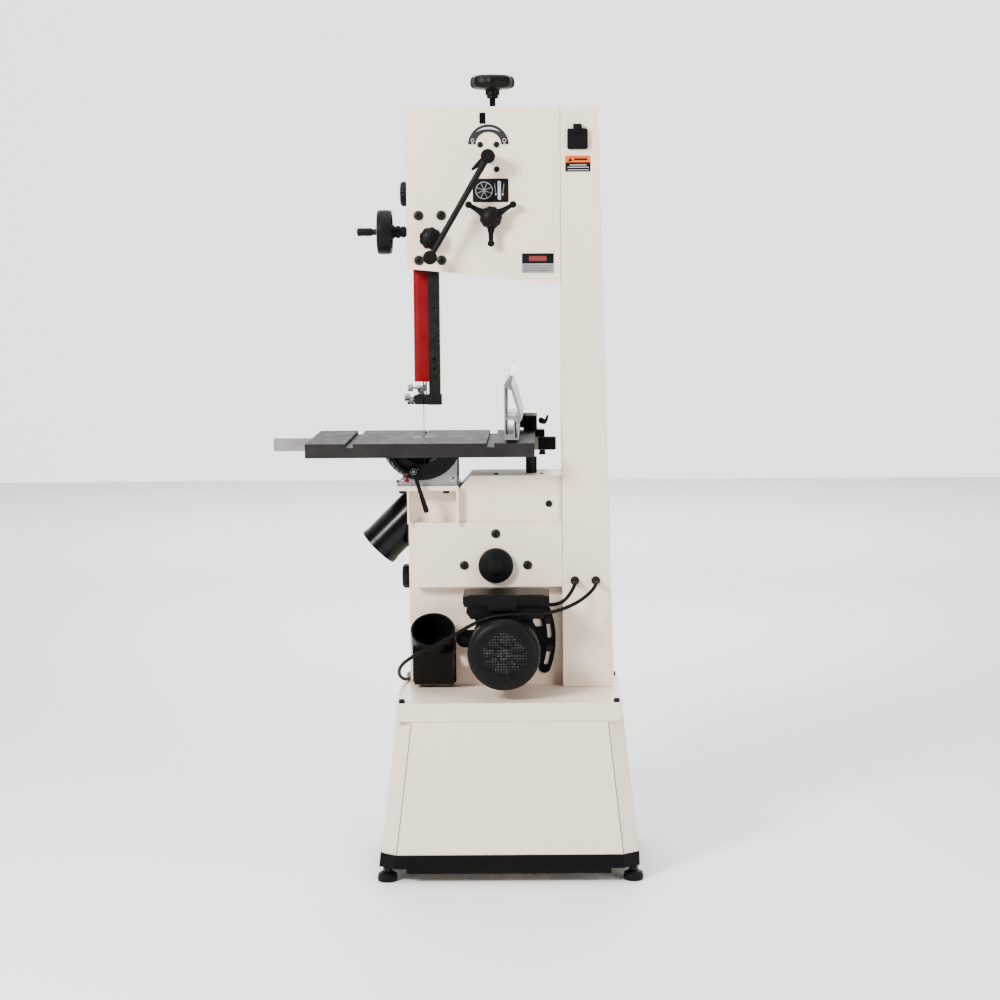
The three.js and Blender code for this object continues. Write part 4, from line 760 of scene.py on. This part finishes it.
def make_tracking_plate():
    """A black plate with a spoked wheel and a blade between two arrows."""
    face = REAR - 0.8
    ink = face - 0.2
    place("tracking_plate", panel(130, 217, 1625, 1682, 4, face, REAR), BLACK_INK, edge=0.2)
    u, v = 157.5, 1653.5
    lines = [ring(u, v, 20.5, 0.8, face)]
    for i in range(8):
        spoke = prism([(1.5, -0.28), (20, -0.28), (20, 0.28), (1.5, 0.28)], "Y", ink, face)
        lines.append(swung(spoke, u, v, math.radians(22.5 + 45 * i)))
    lines.append(panel(190.8, 198.2, 1631, 1676, 2.4, ink, face))
    for x, lean in ((186, -3), (203, 3)):
        shaft = [(x - 0.3 + lean, 1670), (x + 0.3 + lean, 1670), (x + 0.3, 1646), (x - 0.3, 1646)]
        tip = [(x - 1.6, 1646), (x + 1.6, 1646), (x, 1640)]
        lines += [prism(outline, "Y", ink, face) for outline in (shaft, tip)]
    place("tracking_plate_print", lines, WHITE_INK)


def make_labels():
    """Plain coloured plates. Bars stand where a maker would print words."""
    # name, finish, how far its front and its back stand off the housing, and its outlines
    layers = [
        ("warning_label_base", BLACK_INK, 0.4, 0, [rounded(354, 415.5, 1697, 1735.5, 1.5)]),
        ("warning_label_band", ORANGE_INK, 0.6, 0.4, [rounded(354.6, 414.9, 1719.5, 1735, 1.2)]),
        ("warning_label_sign", BLACK_INK, 0.75, 0.6, [
            [(361, 1722), (372, 1722), (366.5, 1731.5)], rounded(376, 408, 1724.5, 1729, 1)]),
        ("warning_label_rows", WHITE_INK, 0.5, 0.4, [
            rounded(365, 406, 1712.6, 1714, 0.5), rounded(360, 411, 1707, 1708.4, 0.5),
            rounded(360, 411, 1701, 1702, 0.5)]),
        ("rating_plate", CAST_ALUMINIUM, 0.6, 0, [rounded(247.5, 326, 1454, 1502, 1.5)]),
        ("rating_plate_header", BLACK_INK, 0.75, 0.6, [rounded(248.2, 325.3, 1477, 1501.4, 1.2)]),
        ("rating_plate_strip", RED_INK, 0.85, 0.75, [rounded(265, 308, 1483, 1495, 2.5)]),
        ("rating_plate_rows", GREY_INK, 0.7, 0.6, [
            rounded(253, 320, z, z + 1.4, 0.5) for z in (1458.5, 1463, 1467.5, 1472)]),
    ]
    for name, finish, front, back, outlines in layers:
        sheets = [prism(outline, "Y", REAR - front, REAR - back) for outline in outlines]
        place(name, sheets, finish)


def make_outlet():
    pins = [rounded(376, 378.4, 1776, 1786, 0.8), rounded(389.6, 392, 1776, 1786, 0.8),
            circle(384, 1766, 3, 20)]
    rim = [panel(359.5, 408.5, 1750.5, 1800.5, 4, -99, REAR, [rounded(363.5, 404.5, 1755, 1796, 3)]),
           panel(363, 405, 1754.5, 1796.5, 3, -97.6, -95.2, pins)]
    place("outlet_frame", rim, BLACK_PLASTIC, edge=0.6)
    lid = [panel(359, 409, 1751, 1799.5, 4.5, -106.6, -100),
           panel(363, 405, 1755, 1795.5, 3, -107.8, -106.4),
           panel(373.5, 394.5, 1792, 1811, 2, -109.5, -101),
           panel(377.6, 390.4, 1790, 1807.5, 2, -111.5, -104)]
    place("outlet_lid", lid, BLACK_PLASTIC, "flap", "outlet_flap", 0.6)


def make_top_cover():
    """The plate that closes the spring's access hole in the top, and its screw."""
    plate = prism(rounded(30, 92, -40, 20, 3), "Z", 1854.2, 1856.6)
    screw = lathe([(0, 1856.4), (4.4, 1856.4), (4, 1858.4), (2, 1859), (0, 1858.6)], "Z", (85, -10), 24)
    place("top_access_plate", [plate, screw], CREAM, edge=0.4)


# ---- Post, guard and guides ----


def make_post():
    outline = [(17, 1158.3), (45, 1158.3), (45, 1608), (17, 1608)]
    bar = prism(outline, "Y", -60, -32, [circle(POST_X, z, 3, 20) for z in POST_HOLES_Z])
    place("guide_post_bar", bar, BLACK_STEEL, "post_unit", "guide_post", 1.2)
    pin = [(0, -57), (1.2, -57), (1.2, -56), (2.9, -56), (2.9, -33), (0, -33)]
    pins = [lathe(pin, "Y", (POST_X, z), 20) for z in POST_HOLES_Z]
    place("guide_post_pins", pins, SATIN_BLACK, "post_unit")


def make_guard():
    """The red guard: sheet folded round the blade, open towards the post."""
    left, right, rear, front = -21, 15.5, -28, 24
    skin = 1.6
    radius = 12
    small = radius - skin
    x, y0, y1 = left + radius, rear + radius, front - radius
    section = [(right, rear), *arc(x, y0, radius, -90, -180, 8), *arc(x, y1, radius, 180, 90, 8),
               (right, front), (right, front - skin), *arc(x, y1, small, 90, 180, 8),
               *arc(x, y0, small, 180, 270, 8), (right, rear + skin)]
    place("blade_guard_shell", prism(section, "Z", 1187, 1482), RED_PAINT, "post_unit", "blade_guard")


def knurled(centre, radius, start, end):
    """A thumb screw's head along X: two knurled bands with a groove between them."""
    middle = (start + end) / 2
    profile = [(0, start), (radius - 1.2, start), (radius, start + 1.2), (radius, middle - 1.4),
               (radius - 1.5, middle - 0.8), (radius - 1.5, middle + 0.8), (radius, middle + 1.4),
               (radius, end - 1.2), (radius - 1.2, end), (0, end)]
    return lathe(profile, "X", centre, 96, lobes=24, depth=0.04)


def make_guides():
    body = [prism([(-17, 1134), (14, 1134), (14, 1132), (48, 1132), (48, 1158), (-11, 1158), (-17, 1153)],
                  "Y", -62, -32), block(-16, 17, -46, -28, 1132, 1156)]
    body += [rod("Y", (x, 1145), 5.2, -63.5, -61, 24) for x in (24, 39)]
    body += [rod("Y", (x, GUIDE_Z), 4, -29, 6.8, 24) for x in (-BEARING_X, BEARING_X)]
    place("guide_bracket_block", body, BLACK_STEEL, "post_unit", "upper_guide_bracket", 0.8)
    face = prism([(-20, 1134.5), (3, 1134.5), (3, 1150), (-6, 1157), (-20, 1157)], "Y", -66.5, -62.2)
    place("guide_clamp_plate", face, BLACK_STEEL, "post_unit", edge=0.8)
    fork = [(1, 1159), (6, 1159), (6, 1166), (9, 1166), (9, 1159), (12, 1159), (12, 1188), (8, 1188),
            (8, 1182), (5, 1182), (5, 1189), (1, 1189)]
    chrome = [knurled((-54, 1151), 9.5, -44, -30), knurled((-50, 1143), 10, -37, -21),
              knurled((-50, 1174), 9.5, -35, -23), rod("X", (-50, 1174), 3.2, -24, 2, 24),
              prism(hexagon(-50, 1174, 15), "X", -12, -7), prism(fork, "Y", -57, -43)]
    place("guide_thumb_screws", chrome, CHROME, "post_unit", edge=0.4, sharp=40)
    race = [(4.3, -5), (6.4, -5), (6.6, -4.2), (9.2, -4.2), (9.4, -5), (10.6, -5), (11, -4.6),
            (11, 4.6), (10.6, 5), (9.4, 5), (9.2, 4.2), (6.6, 4.2), (6.4, 5), (4.3, 5), (4.3, -5)]
    for name, x in (("left", -BEARING_X), ("right", BEARING_X)):
        place(f"guide_bearing_{name}", lathe(race, "Y", (x, GUIDE_Z), 56), BRIGHT_STEEL,
              f"bearing_{name}", f"upper_guide_bearing_{name}")
    thrust = [(3, -20), (10, -20), (10.4, -19.6), (10.4, -14.4), (10, -14), (3, -14), (3, -20)]
    parts = [lathe(thrust, "Y", (-4, 1167), 48), block(-8, 0, -34, -22, 1156, 1171)]
    place("thrust_bearing", parts, BRIGHT_STEEL, "post_unit", edge=0.3)


# ---- Table, trunnion and fence ----


def make_insert():
    """A round aluminium insert with a slot for the blade, held by two screws."""
    top = TABLE_TOP
    holes = [rounded(-5, 2, -14, 15, 1), circle(-20, 0, 3, 20), circle(20, 0, 3, 20)]
    disc = prism(circle(0, 0, 31.6, 64), "Z", top - 3.7, top - 0.1, holes)
    place("insert_disc", disc, INSERT_ALLOY, "tilting_table", "table_insert", 0.3)
    screw = [(0, top - 3.6), (2.7, top - 3.6), (2.6, top - 0.8), (1.2, top - 0.8), (0, top - 2)]
    screws = [lathe(screw, "Z", (x, 0), 20) for x in (-20, 20)]
    place("insert_screws", screws, BLACK_STEEL, "tilting_table")


def make_trunnion_details():
    place("tilt_lock_washer", washer(*TILT_STUD, TRUNNION_REAR - 0.1, 9.8, 1.4), BRIGHT_STEEL, edge=0.3)
    scale = prism(arc_band(0, TABLE_TOP, 87, 97, -158, -112, 30), "Y", -113.9, -113.2)
    place("tilt_scale", scale, BLACK_STEEL, "tilting_table")
    ticks = []
    for i in range(24):
        inner = 96.5 - (8 if i % 5 == 0 else 4.5)
        tick = prism([(inner, -0.3), (96.5, -0.3), (96.5, 0.3), (inner, 0.3)], "Y", -114.1, -113.9)
        ticks.append(swung(tick, 0, TABLE_TOP, math.radians(114 + 1.9 * i)))
    place("tilt_scale_marks", ticks, WHITE_INK, "tilting_table")
    # Painted shade: dark sheets behind the trunnion's slot and window stand for the shade seen through them.
    slot = arc_band(0, TABLE_TOP, 69.5, 83.5, -150, -96, 40)
    window = arc_band(0, TABLE_TOP, 2, 58.5, -144, -36, 40)
    shade_sheets = [prism(slot, "Y", -100.8, -99.6), prism(slot, "Y", 74.3, 75.5),
               prism(window, "Y", 60.4, 61.6)]
    place("trunnion_shade_sheets", shade_sheets, BLACK_STEEL, "tilting_table", edge=0.3)
    pointer = prism([(-34, 944), (-30, 950), (-37, 962), (-41, 962), (-39, 950)], "Y", -116, -114.6)
    place("tilt_pointer", pointer, RED_PAINT, edge=0.3)
    head = [(0, -100.7), (5, -100.7), (6.5, -100), (6.5, -98.4), (0, -98.4)]
    bolts = [prism(hexagon(-70, 942, 13), "X", -65, -59), rod("X", (-70, 942), 7.4, -60, -58, 28)]
    bolts += [lathe(head, "Y", (x, z), 28) for x, z in ((72, 992), (-44, 945), (74, 951))]
    place("trunnion_bolts", bolts, BRIGHT_STEEL, edge=0.4)
    under = [prism(hexagon(x, -96, 15), "Z", 917.5, 924.6) for x in (-50, 58)]
    under += [rod("Z", (x, -96), 9, 923.6, 925, 28) for x in (-50, 58)]
    place("bracket_bolts", under, BLACK_STEEL, edge=0.4)


def make_tilt_handle():
    """The tilt lock's ratchet handle: a boss with a tapered, flattened arm."""
    x, z = TILT_STUD
    edge_ring = [(7, -139.2), (8.2, -139.2), (7.8, -138.2), (7, -138.2), (7, -139.2)]
    bolt = [prism(hexagon(x, z, 7), "Y", -141.8, -140.1), lathe(edge_ring, "Y", (x, z), 36)]
    place("tilt_handle_bolt", bolt, PAINTED_IRON, "tilt_handle", edge=0.2)
    tip = (31, -101)
    reach = math.hypot(*tip)
    boss = [(0, -140), (4, -140), (4.6, -138.6), (8.6, -138.6), (9.6, -137), (10, -124), (8.6, -116.4),
            (8, -115.4), (5, -115.4), (5, -101.6), (0, -101.6)]
    lower = [(4, -5), (reach * 0.5, -4.6), (reach - 10, -6.2), (reach - 2, -6), (reach, -3)]
    upper = [(u, -v) for u, v in reversed(lower)]
    parts = [lathe(boss, "Y", (0, 0), 40), prism(lower + upper, "Y", -137.5, -128.5)]
    parts = [swung(part, x, z, -math.atan2(tip[1], tip[0])) for part in parts]
    place("tilt_handle_arm", parts, BLACK_PLASTIC, "tilt_handle", "tilt_lock_handle", 1.6, 40)


def make_rail_ends():
    """Black end caps in the rail, and its bolts under the table's front edge."""
    inside = rounded(208.2, 232.8, 995.2, 1028.8, 2.5)
    rib = rounded(207.2, 234, 994.2, 1029.2, 2.5)
    sleeve = rounded(207.6, 233.15, 994.6, 1029.15, 2.5)
    cap = [prism(inside, "X", -399.9, -394), prism(inside, "X", 324, 330)]
    cap += [prism(rib, "X", x, x + 2.2) for x in range(303, 327, 4)]
    cap.append(prism(sleeve, "X", 283.5, 328))
    place("rail_end_caps", cap, BLACK_PLASTIC, "tilting_table", edge=0.5)
    stop = [rod("Z", (294, 220), 9.5, 982, 986, 30), prism(hexagon(294, 220, 14), "Z", 985, 994.8)]
    place("rail_stop_bolt", stop, BLACK_STEEL, "tilting_table", edge=0.4)
    head = [(0, 233), (8, 233), (8, 235), (6, 237.6), (0, 238)]
    bolts = [lathe(head, "Y", (x, 1012), 28) for x in (-210, -70, 70, 210)]
    place("rail_bolts", bolts, BLACK_STEEL, "tilting_table")


def make_fence_trim():
    """The fence's glide pad, its head's grey cap, its stepped clamp and the lock lever."""
    pad = [(209, 1049.3), (233, 1049.3), (233, 1056.8), (227, 1056.8), (227, 1062), (215, 1062),
           (215, 1056.8), (209, 1056.8)]
    place("fence_glide_pad", prism(pad, "Y", -200, -150), BLACK_PLASTIC, "fence_unit", edge=0.6)
    cap = prism(rounded(245.4, 281.6, 149.5, 246.4, 2), "Z", 1087, 1095.8)
    place("fence_head_cap", cap, CAST_ALUMINIUM, "fence_unit", edge=1.0)
    steps = [block(281, 293, 199, 240, 1029.8, 1047), block(293, 301, 205, 236, 1031, 1043),
             rod("Y", (270, 1062), 6, 145, 151, 28), rod("Y", (256, 1078), 5, 145.5, 151, 28)]
    place("fence_clamp_steps", steps, BLACK_PLASTIC, "fence_unit", edge=0.9)
    hub = [(0, 186), (6, 186), (7.6, 187.5), (7.6, 194), (6.6, 195), (7.4, 196.5), (7.4, 215.5),
           (6.6, 217), (7.6, 218), (7.6, 224.5), (6, 226), (0, 226)]
    wing = [(285, 1068), (290, 1063.5), (299, 1062), (304, 1064), (309, 1072), (311, 1084),
            (308, 1086.5), (305, 1084), (303, 1077), (298, 1073.5), (292, 1077), (286, 1076)]
    lever = [lathe(hub, "Y", (292, 1072), 40), prism(wing, "Y", 197, 215)]
    place("fence_lever_wing", lever, BLACK_PLASTIC, "fence_lever", "fence_lock_lever", 1.0, 40)


def make_stop_post():
    profile = [(0, 959.3), (13.5, 959.3), (14, 961), (14, 998), (12.5, 1000), (8.6, 1000.5), (8.6, 1008),
               (6, 1009), (6, 1014.6), (0, 1014.6)]
    post = lathe(profile, "Z", STOP_POST, 40)
    place("stop_post_body", post, BLACK_STEEL, replaces="table_stop_post")
    head = [(0, 959.1), (5.5, 959.1), (5, 961.4), (2.4, 962), (0, 961.2)]
    screws = [lathe(head, "Z", (x, -50), 24) for x in (180, 292)]
    place("shelf_screws", screws, BLACK_STEEL)


def tooth_steps(outline):
    """Places one tooth pitch apart, walked once round a closed outline."""
    points = []
    carry = 0.0
    for (x0, z0), (x1, z1) in zip(outline, outline[1:] + outline[:1]):
        length = math.hypot(x1 - x0, z1 - z0)
        while carry < length:
            points.append((x0 + (x1 - x0) * carry / length, z0 + (z1 - z0) * carry / length))
            carry += TOOTH_PITCH
        carry -= length
    return points


def make_blade():
    """The blade's loop with hook teeth on the edge towards the operator."""
    points = tooth_steps(arc(WHEEL_X, UPPER_AXIS_Z, BLADE_LOOP_RADIUS, 0, 180, 48)
                         + arc(WHEEL_X, LOWER_AXIS_Z, BLADE_LOOP_RADIUS, 180, 360, 48))
    back, gullet, tip_y = -9.5, 7.6, 9.5
    part = bmesh.new()
    half = BLADE_THICKNESS / 2
    rows = []
    for i, (x, z) in enumerate(points):
        before, after = points[i - 1], points[(i + 1) % len(points)]
        dx, dz = after[0] - before[0], after[1] - before[1]
        size = math.hypot(dx, dz)
        nx, nz = dz / size, -dx / size
        row = [part.verts.new((x + nx * half * side, y, z + nz * half * side))
               for y, side in ((back, -1), (gullet, -1), (gullet, 1), (back, 1))]
        tip = (x + dx / size * TOOTH_PITCH * 0.3, tip_y, z + dz / size * TOOTH_PITCH * 0.3)
        rows.append((row, part.verts.new(tip)))
    for (a, tip), (b, _) in zip(rows, rows[1:] + rows[:1]):
        for face in ((a[0], a[1], b[1], b[0]), (a[3], b[3], b[2], a[2]), (a[0], b[0], b[3], a[3]),
                     (a[1], a[2], tip), (a[2], b[2], tip), (b[2], b[1], tip), (b[1], a[1], tip)):
            part.faces.new(face)
    bmesh.ops.recalc_face_normals(part, faces=part.faces)
    place("toothed_blade", part, BLADE_STEEL, replaces="blade")


# ---- Lower housing, motor and dust parts ----


def make_lower_bolts():
    reach = 78
    places = [(WHEEL_X - reach, LOWER_AXIS_Z), (WHEEL_X + reach, LOWER_AXIS_Z),
              (WHEEL_X, LOWER_AXIS_Z + reach)]
    bolts = [button_bolt(x, z, REAR - 1.5, 10.4, 6) for x, z in places]
    bolts += [washer(x, z, REAR, 11.6) for x, z in places]
    bolts.append(button_bolt(310, 889, SHELF_REAR, 8.6, 5))
    place("lower_rear_bolts", bolts, BLACK_STEEL, edge=0.3)


def make_hub_cap():
    rings = [(0, -134), (10, -133.6), (17, -131.5), (20.4, -127), (21.4, -121.5), (24, -120.6),
             (24.6, -119.4), (30, -119), (33.5, -117.8), (34.2, -116.2), (39, -115.6), (42, -113.4),
             (43, -110), (43, -95.4), (0, -95.4)]
    dome = lathe(rings, "Y", (WHEEL_X, LOWER_AXIS_Z), 72)
    place("hub_cap_dome", dome, SATIN_BLACK, replaces="lower_hub_cap")


def grille_holes(x, z):
    """Square holes on a grid, kept inside a circle and left solid at its middle."""
    pitch, hole = 6.6, 4.1
    holes = []
    for i in range(-8, 9):
        for j in range(-8, 9):
            u, v = i * pitch, j * pitch
            if 3.5 < math.hypot(u, v) < 54 and abs(u) + abs(v) < 72:
                u0, v0 = x + u - hole / 2, z + v - hole / 2
                holes.append([(u0, v0), (u0 + hole, v0), (u0 + hole, v0 + hole), (u0, v0 + hole)])
    return holes


def make_fan_cover():
    """A pressed cover with a grille, and the fan behind it."""
    x, z = MOTOR

    def from_rear(profile, segments):
        return lathe([(radius, FAN_REAR + depth) for radius, depth in profile], "Y", (x, z), segments)

    inner = FAN_RADIUS - 2.4
    shell = [(60, 0), (68, 0), (76, 2), (82, 6), (86.2, 12), (FAN_RADIUS, 20), (FAN_RADIUS, 59.7),
             (inner, 59.7), (inner, 20), (83.8, 13), (80, 8), (75, 4.5), (68, 2.4), (60, 2.4), (60, 0)]
    grille = prism(circle(x, z, 60.3, 96), "Y", FAN_REAR + 0.2, FAN_REAR + 2.2, grille_holes(x, z))
    place("fan_cover_shell", [from_rear(shell, 96), grille], BLACK_PLASTIC, "frame", "motor_fan_cover",
          sharp=36)
    fan = [from_rear([(0, 12), (14, 12), (20, 18), (20, 40), (0, 40)], 40),
           from_rear([(20, 36), (74, 36), (74, 38), (20, 38), (20, 36)], 64)]
    fan += [swung(block(18, 72, FAN_REAR + 14, FAN_REAR + 37, -1.2, 1.2), x, z, 2 * math.pi * i / 9)
            for i in range(9)]
    place("motor_fan", fan, CAST_ALUMINIUM, "rotor")


def make_motor_body():
    x, z = MOTOR
    rear, front = MOTOR_REAR, MOTOR_FRONT
    can = [(0, rear), (70, rear), (74, rear + 3), (74, front - 3), (70, front), (13, front), (13, -100),
           (0, -100)]
    parts = [lathe(can, "Y", (x, z), 72)]
    for degrees in range(0, 360, 9):
        if not 40 < degrees < 140:
            fin = block(73, 78.2, rear + 14, front - 18, -1.3, 1.3)
            parts.append(swung(fin, x, z, -math.radians(degrees)))
    for y0, y1 in ((rear, rear + 12), (front - 16, front)):
        bell = [(60, y0), (77, y0), (78, y0 + 1), (78, y1 - 1), (77, y1), (60, y1), (60, y0)]
        parts.append(lathe(bell, "Y", (x, z), 72))
    place("motor_can", parts, BLACK_PAINT, "frame", "motor_body", 0.5, 36)


def make_terminal_box():
    """The box on the motor: a deep tray, a lipped lid and the lid's raised middle."""
    tray = [(112, 664), (108, 640), (120, 624), (292, 624), (304, 640), (304, 664)]
    saddle = [(128, 626), (134, 606), (152, 606), (160, 626)]
    saddle_right = [(240, 626), (248, 606), (266, 606), (272, 626)]
    top = [(112, 681.5), (116, 684), (295, 684), (299, 681.5)]
    middle = [(157, 683), (157, 672), (163, 646), (228, 646), (234, 672), (234, 683)]
    screw = [(0, -236), (3.6, -236), (3.6, -233), (2, -232), (0, -232)]
    parts = [prism(tray, "Y", -222, -120), prism(saddle, "Y", -210, -132),
             prism(saddle_right, "Y", -210, -132), panel(101, 310, 661, 682, 2.5, -232, -112),
             panel(103.5, 307.5, 655, 662, 1.5, -229, -115), prism(top, "Y", -226, -118),
             prism(middle, "Y", -236, -226), *[lathe(screw, "Y", (x, 671), 20) for x in (110, 301)]]
    place("terminal_box_shell", parts, BLACK_PLASTIC, "frame", "motor_terminal_box", 1.4, 36)


def make_motor_bracket_bolts():
    u, v = BRACKET_PIVOT
    parts = []
    for degrees in (-6, 13):
        (x, z), _ = arc(u, v, BRACKET_SLOT_RADIUS, degrees, degrees, 1)
        parts += [prism(hexagon(x, z, 16), "Y", -75.5, -67.6), rod("Y", (x, z), 11, -68.2, -66.3, 30)]
    parts += [prism(hexagon(u, v, 18), "Y", -76, -67.6), rod("Y", (u, v), 13, -68.4, -66.3, 32)]
    place("motor_bracket_bolts", parts, BLACK_STEEL, edge=0.5)


def make_side_port():
    """A pipe that leaves the left wall downwards at 45 degrees, cut flat where it meets the wall."""
    wall, port_z = LOWER_LEFT - 0.3, SIDE_PORT_Z
    reach, outer, inner = 114, 51.5, 48.7
    profile = [(inner, 90), (outer, 90), (outer, -reach + 16), (outer + 1.4, -reach + 15),
               (outer + 1.4, -reach + 1), (outer + 0.6, -reach), (inner, -reach), (inner, 90)]
    pipe = lathe(profile, "Z", (0, 0), 96)
    swung(pipe, wall, port_z, math.pi / 4)
    everything = [*pipe.verts, *pipe.edges, *pipe.faces]
    found = bmesh.ops.bisect_plane(pipe, geom=everything, plane_co=(wall, 0, 0), plane_no=(1, 0, 0),
                                   clear_outer=True)
    rims = [g for g in found["geom_cut"] if isinstance(g, bmesh.types.BMEdge)]
    bmesh.ops.bridge_loops(pipe, edges=rims)
    bmesh.ops.recalc_face_normals(pipe, faces=pipe.faces)
    opening = [(u, port_z + v * math.sqrt(2)) for u, v in circle(0, 0, inner - 1.4, 48)]
    flange = prism(rounded(-58, 58, port_z - 72, port_z + 72, 9), "X", wall - 4, wall - 0.05, [opening])
    head = [(0, wall - 6), (2, wall - 6.4), (4, wall - 5.6), (4.6, wall - 3.8), (0, wall - 3.8)]
    screws = [lathe(head, "X", (y, z), 24) for y in (-50, 50) for z in (port_z - 63, port_z + 63)]
    place("side_port_pipe", [pipe, flange, *screws], GLOSS_BLACK, "frame", "side_dust_port", 0.5, 34)


def make_dust_hood_trim():
    """A smooth collar over the hood's mouth, the hood's screws, and a dark plate on the wall that paints the
    shade inside the hole there.
    """
    profile = [(50.2, 22), (53.9, 22), (53.9, 3), (54.4, 2), (54.4, -0.1), (50.2, -0.1), (50.2, 22)]
    collar = lathe([(radius, -depth) for radius, depth in profile], "Y", (0, 0), 96)
    lean = Matrix.Rotation(-math.radians(HOOD_LEAN), 4, "X") @ Matrix.Rotation(math.pi, 4, "X")
    moved(collar, Matrix.Translation(HOOD_MOUTH) @ lean)
    place("dust_hood_collar", collar, SATIN_BLACK, edge=0.4)
    screws = [button_bolt(x, z, -64.4, 3.8, 2.4) for x in (-25, 71) for z in (446, 539)]
    place("dust_hood_screws", screws, BLACK_STEEL)
    # Painted shade: a dark plate on the wall stands for the shade inside the hood's hole.
    hole_shade = [panel(-19, 67, 448, 540, 6, -61.4, -60.5), panel(-19, 67, 470, 600, 42, -61.6, -60.4)]
    place("dust_hood_hole_shade", hole_shade, SATIN_BLACK)


# ---- Base ----


def bar_between(start, end, width):
    """A thin square bar from one point to another, for the painted shadow along the seam between two sheets.
    """
    start, end = Vector(start), Vector(end)
    bar = block(-width / 2, width / 2, -width / 2, width / 2, 0, (end - start).length)
    spin = (end - start).to_track_quat("Z", "Y").to_matrix().to_4x4()
    return moved(bar, Matrix.Translation(start) @ spin)


def paint_seam_shadows():
    """Painted shadow: thin dark strips along the column's edge and the base's front panel, standing in for
    the shade in the gaps where the sheets meet.
    """
    seams = [block(COLUMN_EDGE - 0.6, COLUMN_EDGE + 0.6, REAR - 0.2, REAR + 1.5, low, high)
             for low, high in ((1431, 1852), (757, 957))]
    seams += [bar_between((top_x, -290.3, 384), (foot_x, -323.8, 70), 1.6)
              for top_x, foot_x in ((-23, -60.5), (449, 484))]
    place("painted_seam_shadows", seams, SEAM_SHADE)


def make_base_bolts():
    bolts = []
    for x in (-46, 470):
        for y in (-279, 62):
            bolts += standing_bolt(x, y, LEDGE_TOP)
    place("ledge_bolts", bolts, BLACK_STEEL, edge=0.4)


def make_feet():
    profile = [(0, 0), (21, 0), (23.4, 1.5), (24, 4), (24, 12), (22.6, 14), (22.6, 18), (18, 21.5),
               (11, 23.4), (0, 24)]
    for i, (x, y) in enumerate(FEET, 1):
        pad = lathe(profile, "Z", (x, y), 60)
        place(f"foot_pad_{i}", pad, BLACK_PLASTIC, replaces=f"levelling_foot_{i}")
        stud = [prism(hexagon(x, y, 19), "Z", 24, 33), rod("Z", (x, y), 4.9, 22, 52, 24)]
        place(f"foot_stud_{i}", stud, BLACK_STEEL, edge=0.4)


make_tension_knob()
make_tracking_knob()
make_release_lever()
make_lock_knob()
make_handwheel()
make_latches()
make_upper_bolts()
make_tension_gauge()
make_slot_window()
make_tracking_plate()
make_labels()
make_outlet()
make_top_cover()
make_post()
make_guard()
make_guides()
make_insert()
make_trunnion_details()
make_tilt_handle()
make_rail_ends()
make_fence_trim()
make_stop_post()
make_blade()
make_lower_bolts()
make_hub_cap()
make_fan_cover()
make_motor_body()
make_terminal_box()
make_motor_bracket_bolts()
make_side_port()
make_dust_hood_trim()
make_base_bolts()
paint_seam_shadows()
make_feet()

# ---- Finishes of the CAD pieces that no other piece stands for ----

NODE_FINISH = {
    CREAM: ["base_top", "base_cabinet", "column", "upper_housing", "lower_housing", "upper_door",
            "lower_door"],
    BLACK_PAINT: ["base_skirt", "motor_bracket"],
    BLACK_PLASTIC: ["fence_head"],
    SATIN_BLACK: ["lower_dust_hood"],
    CAST_IRON: ["table"],
    PAINTED_IRON: ["wheel_carriage", "lower_bearing_unit", "post_bracket", "lower_guide_bracket"],
    ALUMINIUM: ["fence"],
    RAIL_ALUMINIUM: ["fence_rail"],
    CAST_ALUMINIUM: ["upper_wheel", "lower_wheel", "trunnion_support"],
    BRIGHT_STEEL: ["tension_spring", "motor_rotor"],
    BLACK_STEEL: ["trunnion"],
    TYRE_RUBBER: ["upper_tyre", "lower_tyre"],
    BELT_RUBBER: ["drive_belt"],
}
SOFT_EDGES = {
    "base_top": 2.2, "base_cabinet": 2.0, "base_skirt": 1.2, "column": 1.6, "upper_housing": 1.6,
    "lower_housing": 1.2, "upper_door": 2.5, "lower_door": 2.5, "table": 0.8, "fence": 0.5,
    "fence_rail": 0.8, "fence_head": 1.4, "trunnion": 0.8, "trunnion_support": 1.0,
    "post_bracket": 1.2, "wheel_carriage": 1.2, "lower_guide_bracket": 0.8, "motor_bracket": 0.8,
}


def shade_group():
    """A node group that shades a mesh smooth except across its sharp edges."""
    group = bpy.data.node_groups.new("smooth_shading", "GeometryNodeTree")
    for in_out in ("INPUT", "OUTPUT"):
        group.interface.new_socket("Geometry", in_out=in_out, socket_type="NodeSocketGeometry")
    source = group.nodes.new("NodeGroupInput")
    result = group.nodes.new("NodeGroupOutput")
    angle = group.nodes.new("GeometryNodeInputMeshEdgeAngle")
    sharp = group.nodes.new("FunctionNodeCompare")
    sharp.data_type = "FLOAT"
    sharp.operation = "GREATER_THAN"
    sharp.inputs[1].default_value = math.radians(32)
    faces = group.nodes.new("GeometryNodeSetShadeSmooth")
    faces.domain = "FACE"
    edges = group.nodes.new("GeometryNodeSetShadeSmooth")
    edges.domain = "EDGE"
    edges.inputs["Shade Smooth"].default_value = False
    link(group, source, 0, faces, "Geometry")
    link(group, faces, 0, edges, "Geometry")
    link(group, angle, "Unsigned Angle", sharp, 0)
    link(group, sharp, "Result", edges, "Selection")
    link(group, edges, 0, result, 0)
    return group


def finish_cad_nodes():
    shading = shade_group()
    for material, names in NODE_FINISH.items():
        for name in names:
            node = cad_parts[name]
            node.data.materials.clear()
            node.data.materials.append(material)
            weld = node.modifiers.new("weld", "WELD")
            weld.merge_threshold = 0.00002
            flat = node.modifiers.new("flat", "DECIMATE")
            flat.decimate_type = "DISSOLVE"
            flat.angle_limit = math.radians(0.5)
            node.modifiers.new("shade", "NODES").node_group = shading
            if name in SOFT_EDGES:
                bevel(node, SOFT_EDGES[name], 40)
            node.modifiers.new("weighted", "WEIGHTED_NORMAL").keep_sharp = True


finish_cad_nodes()
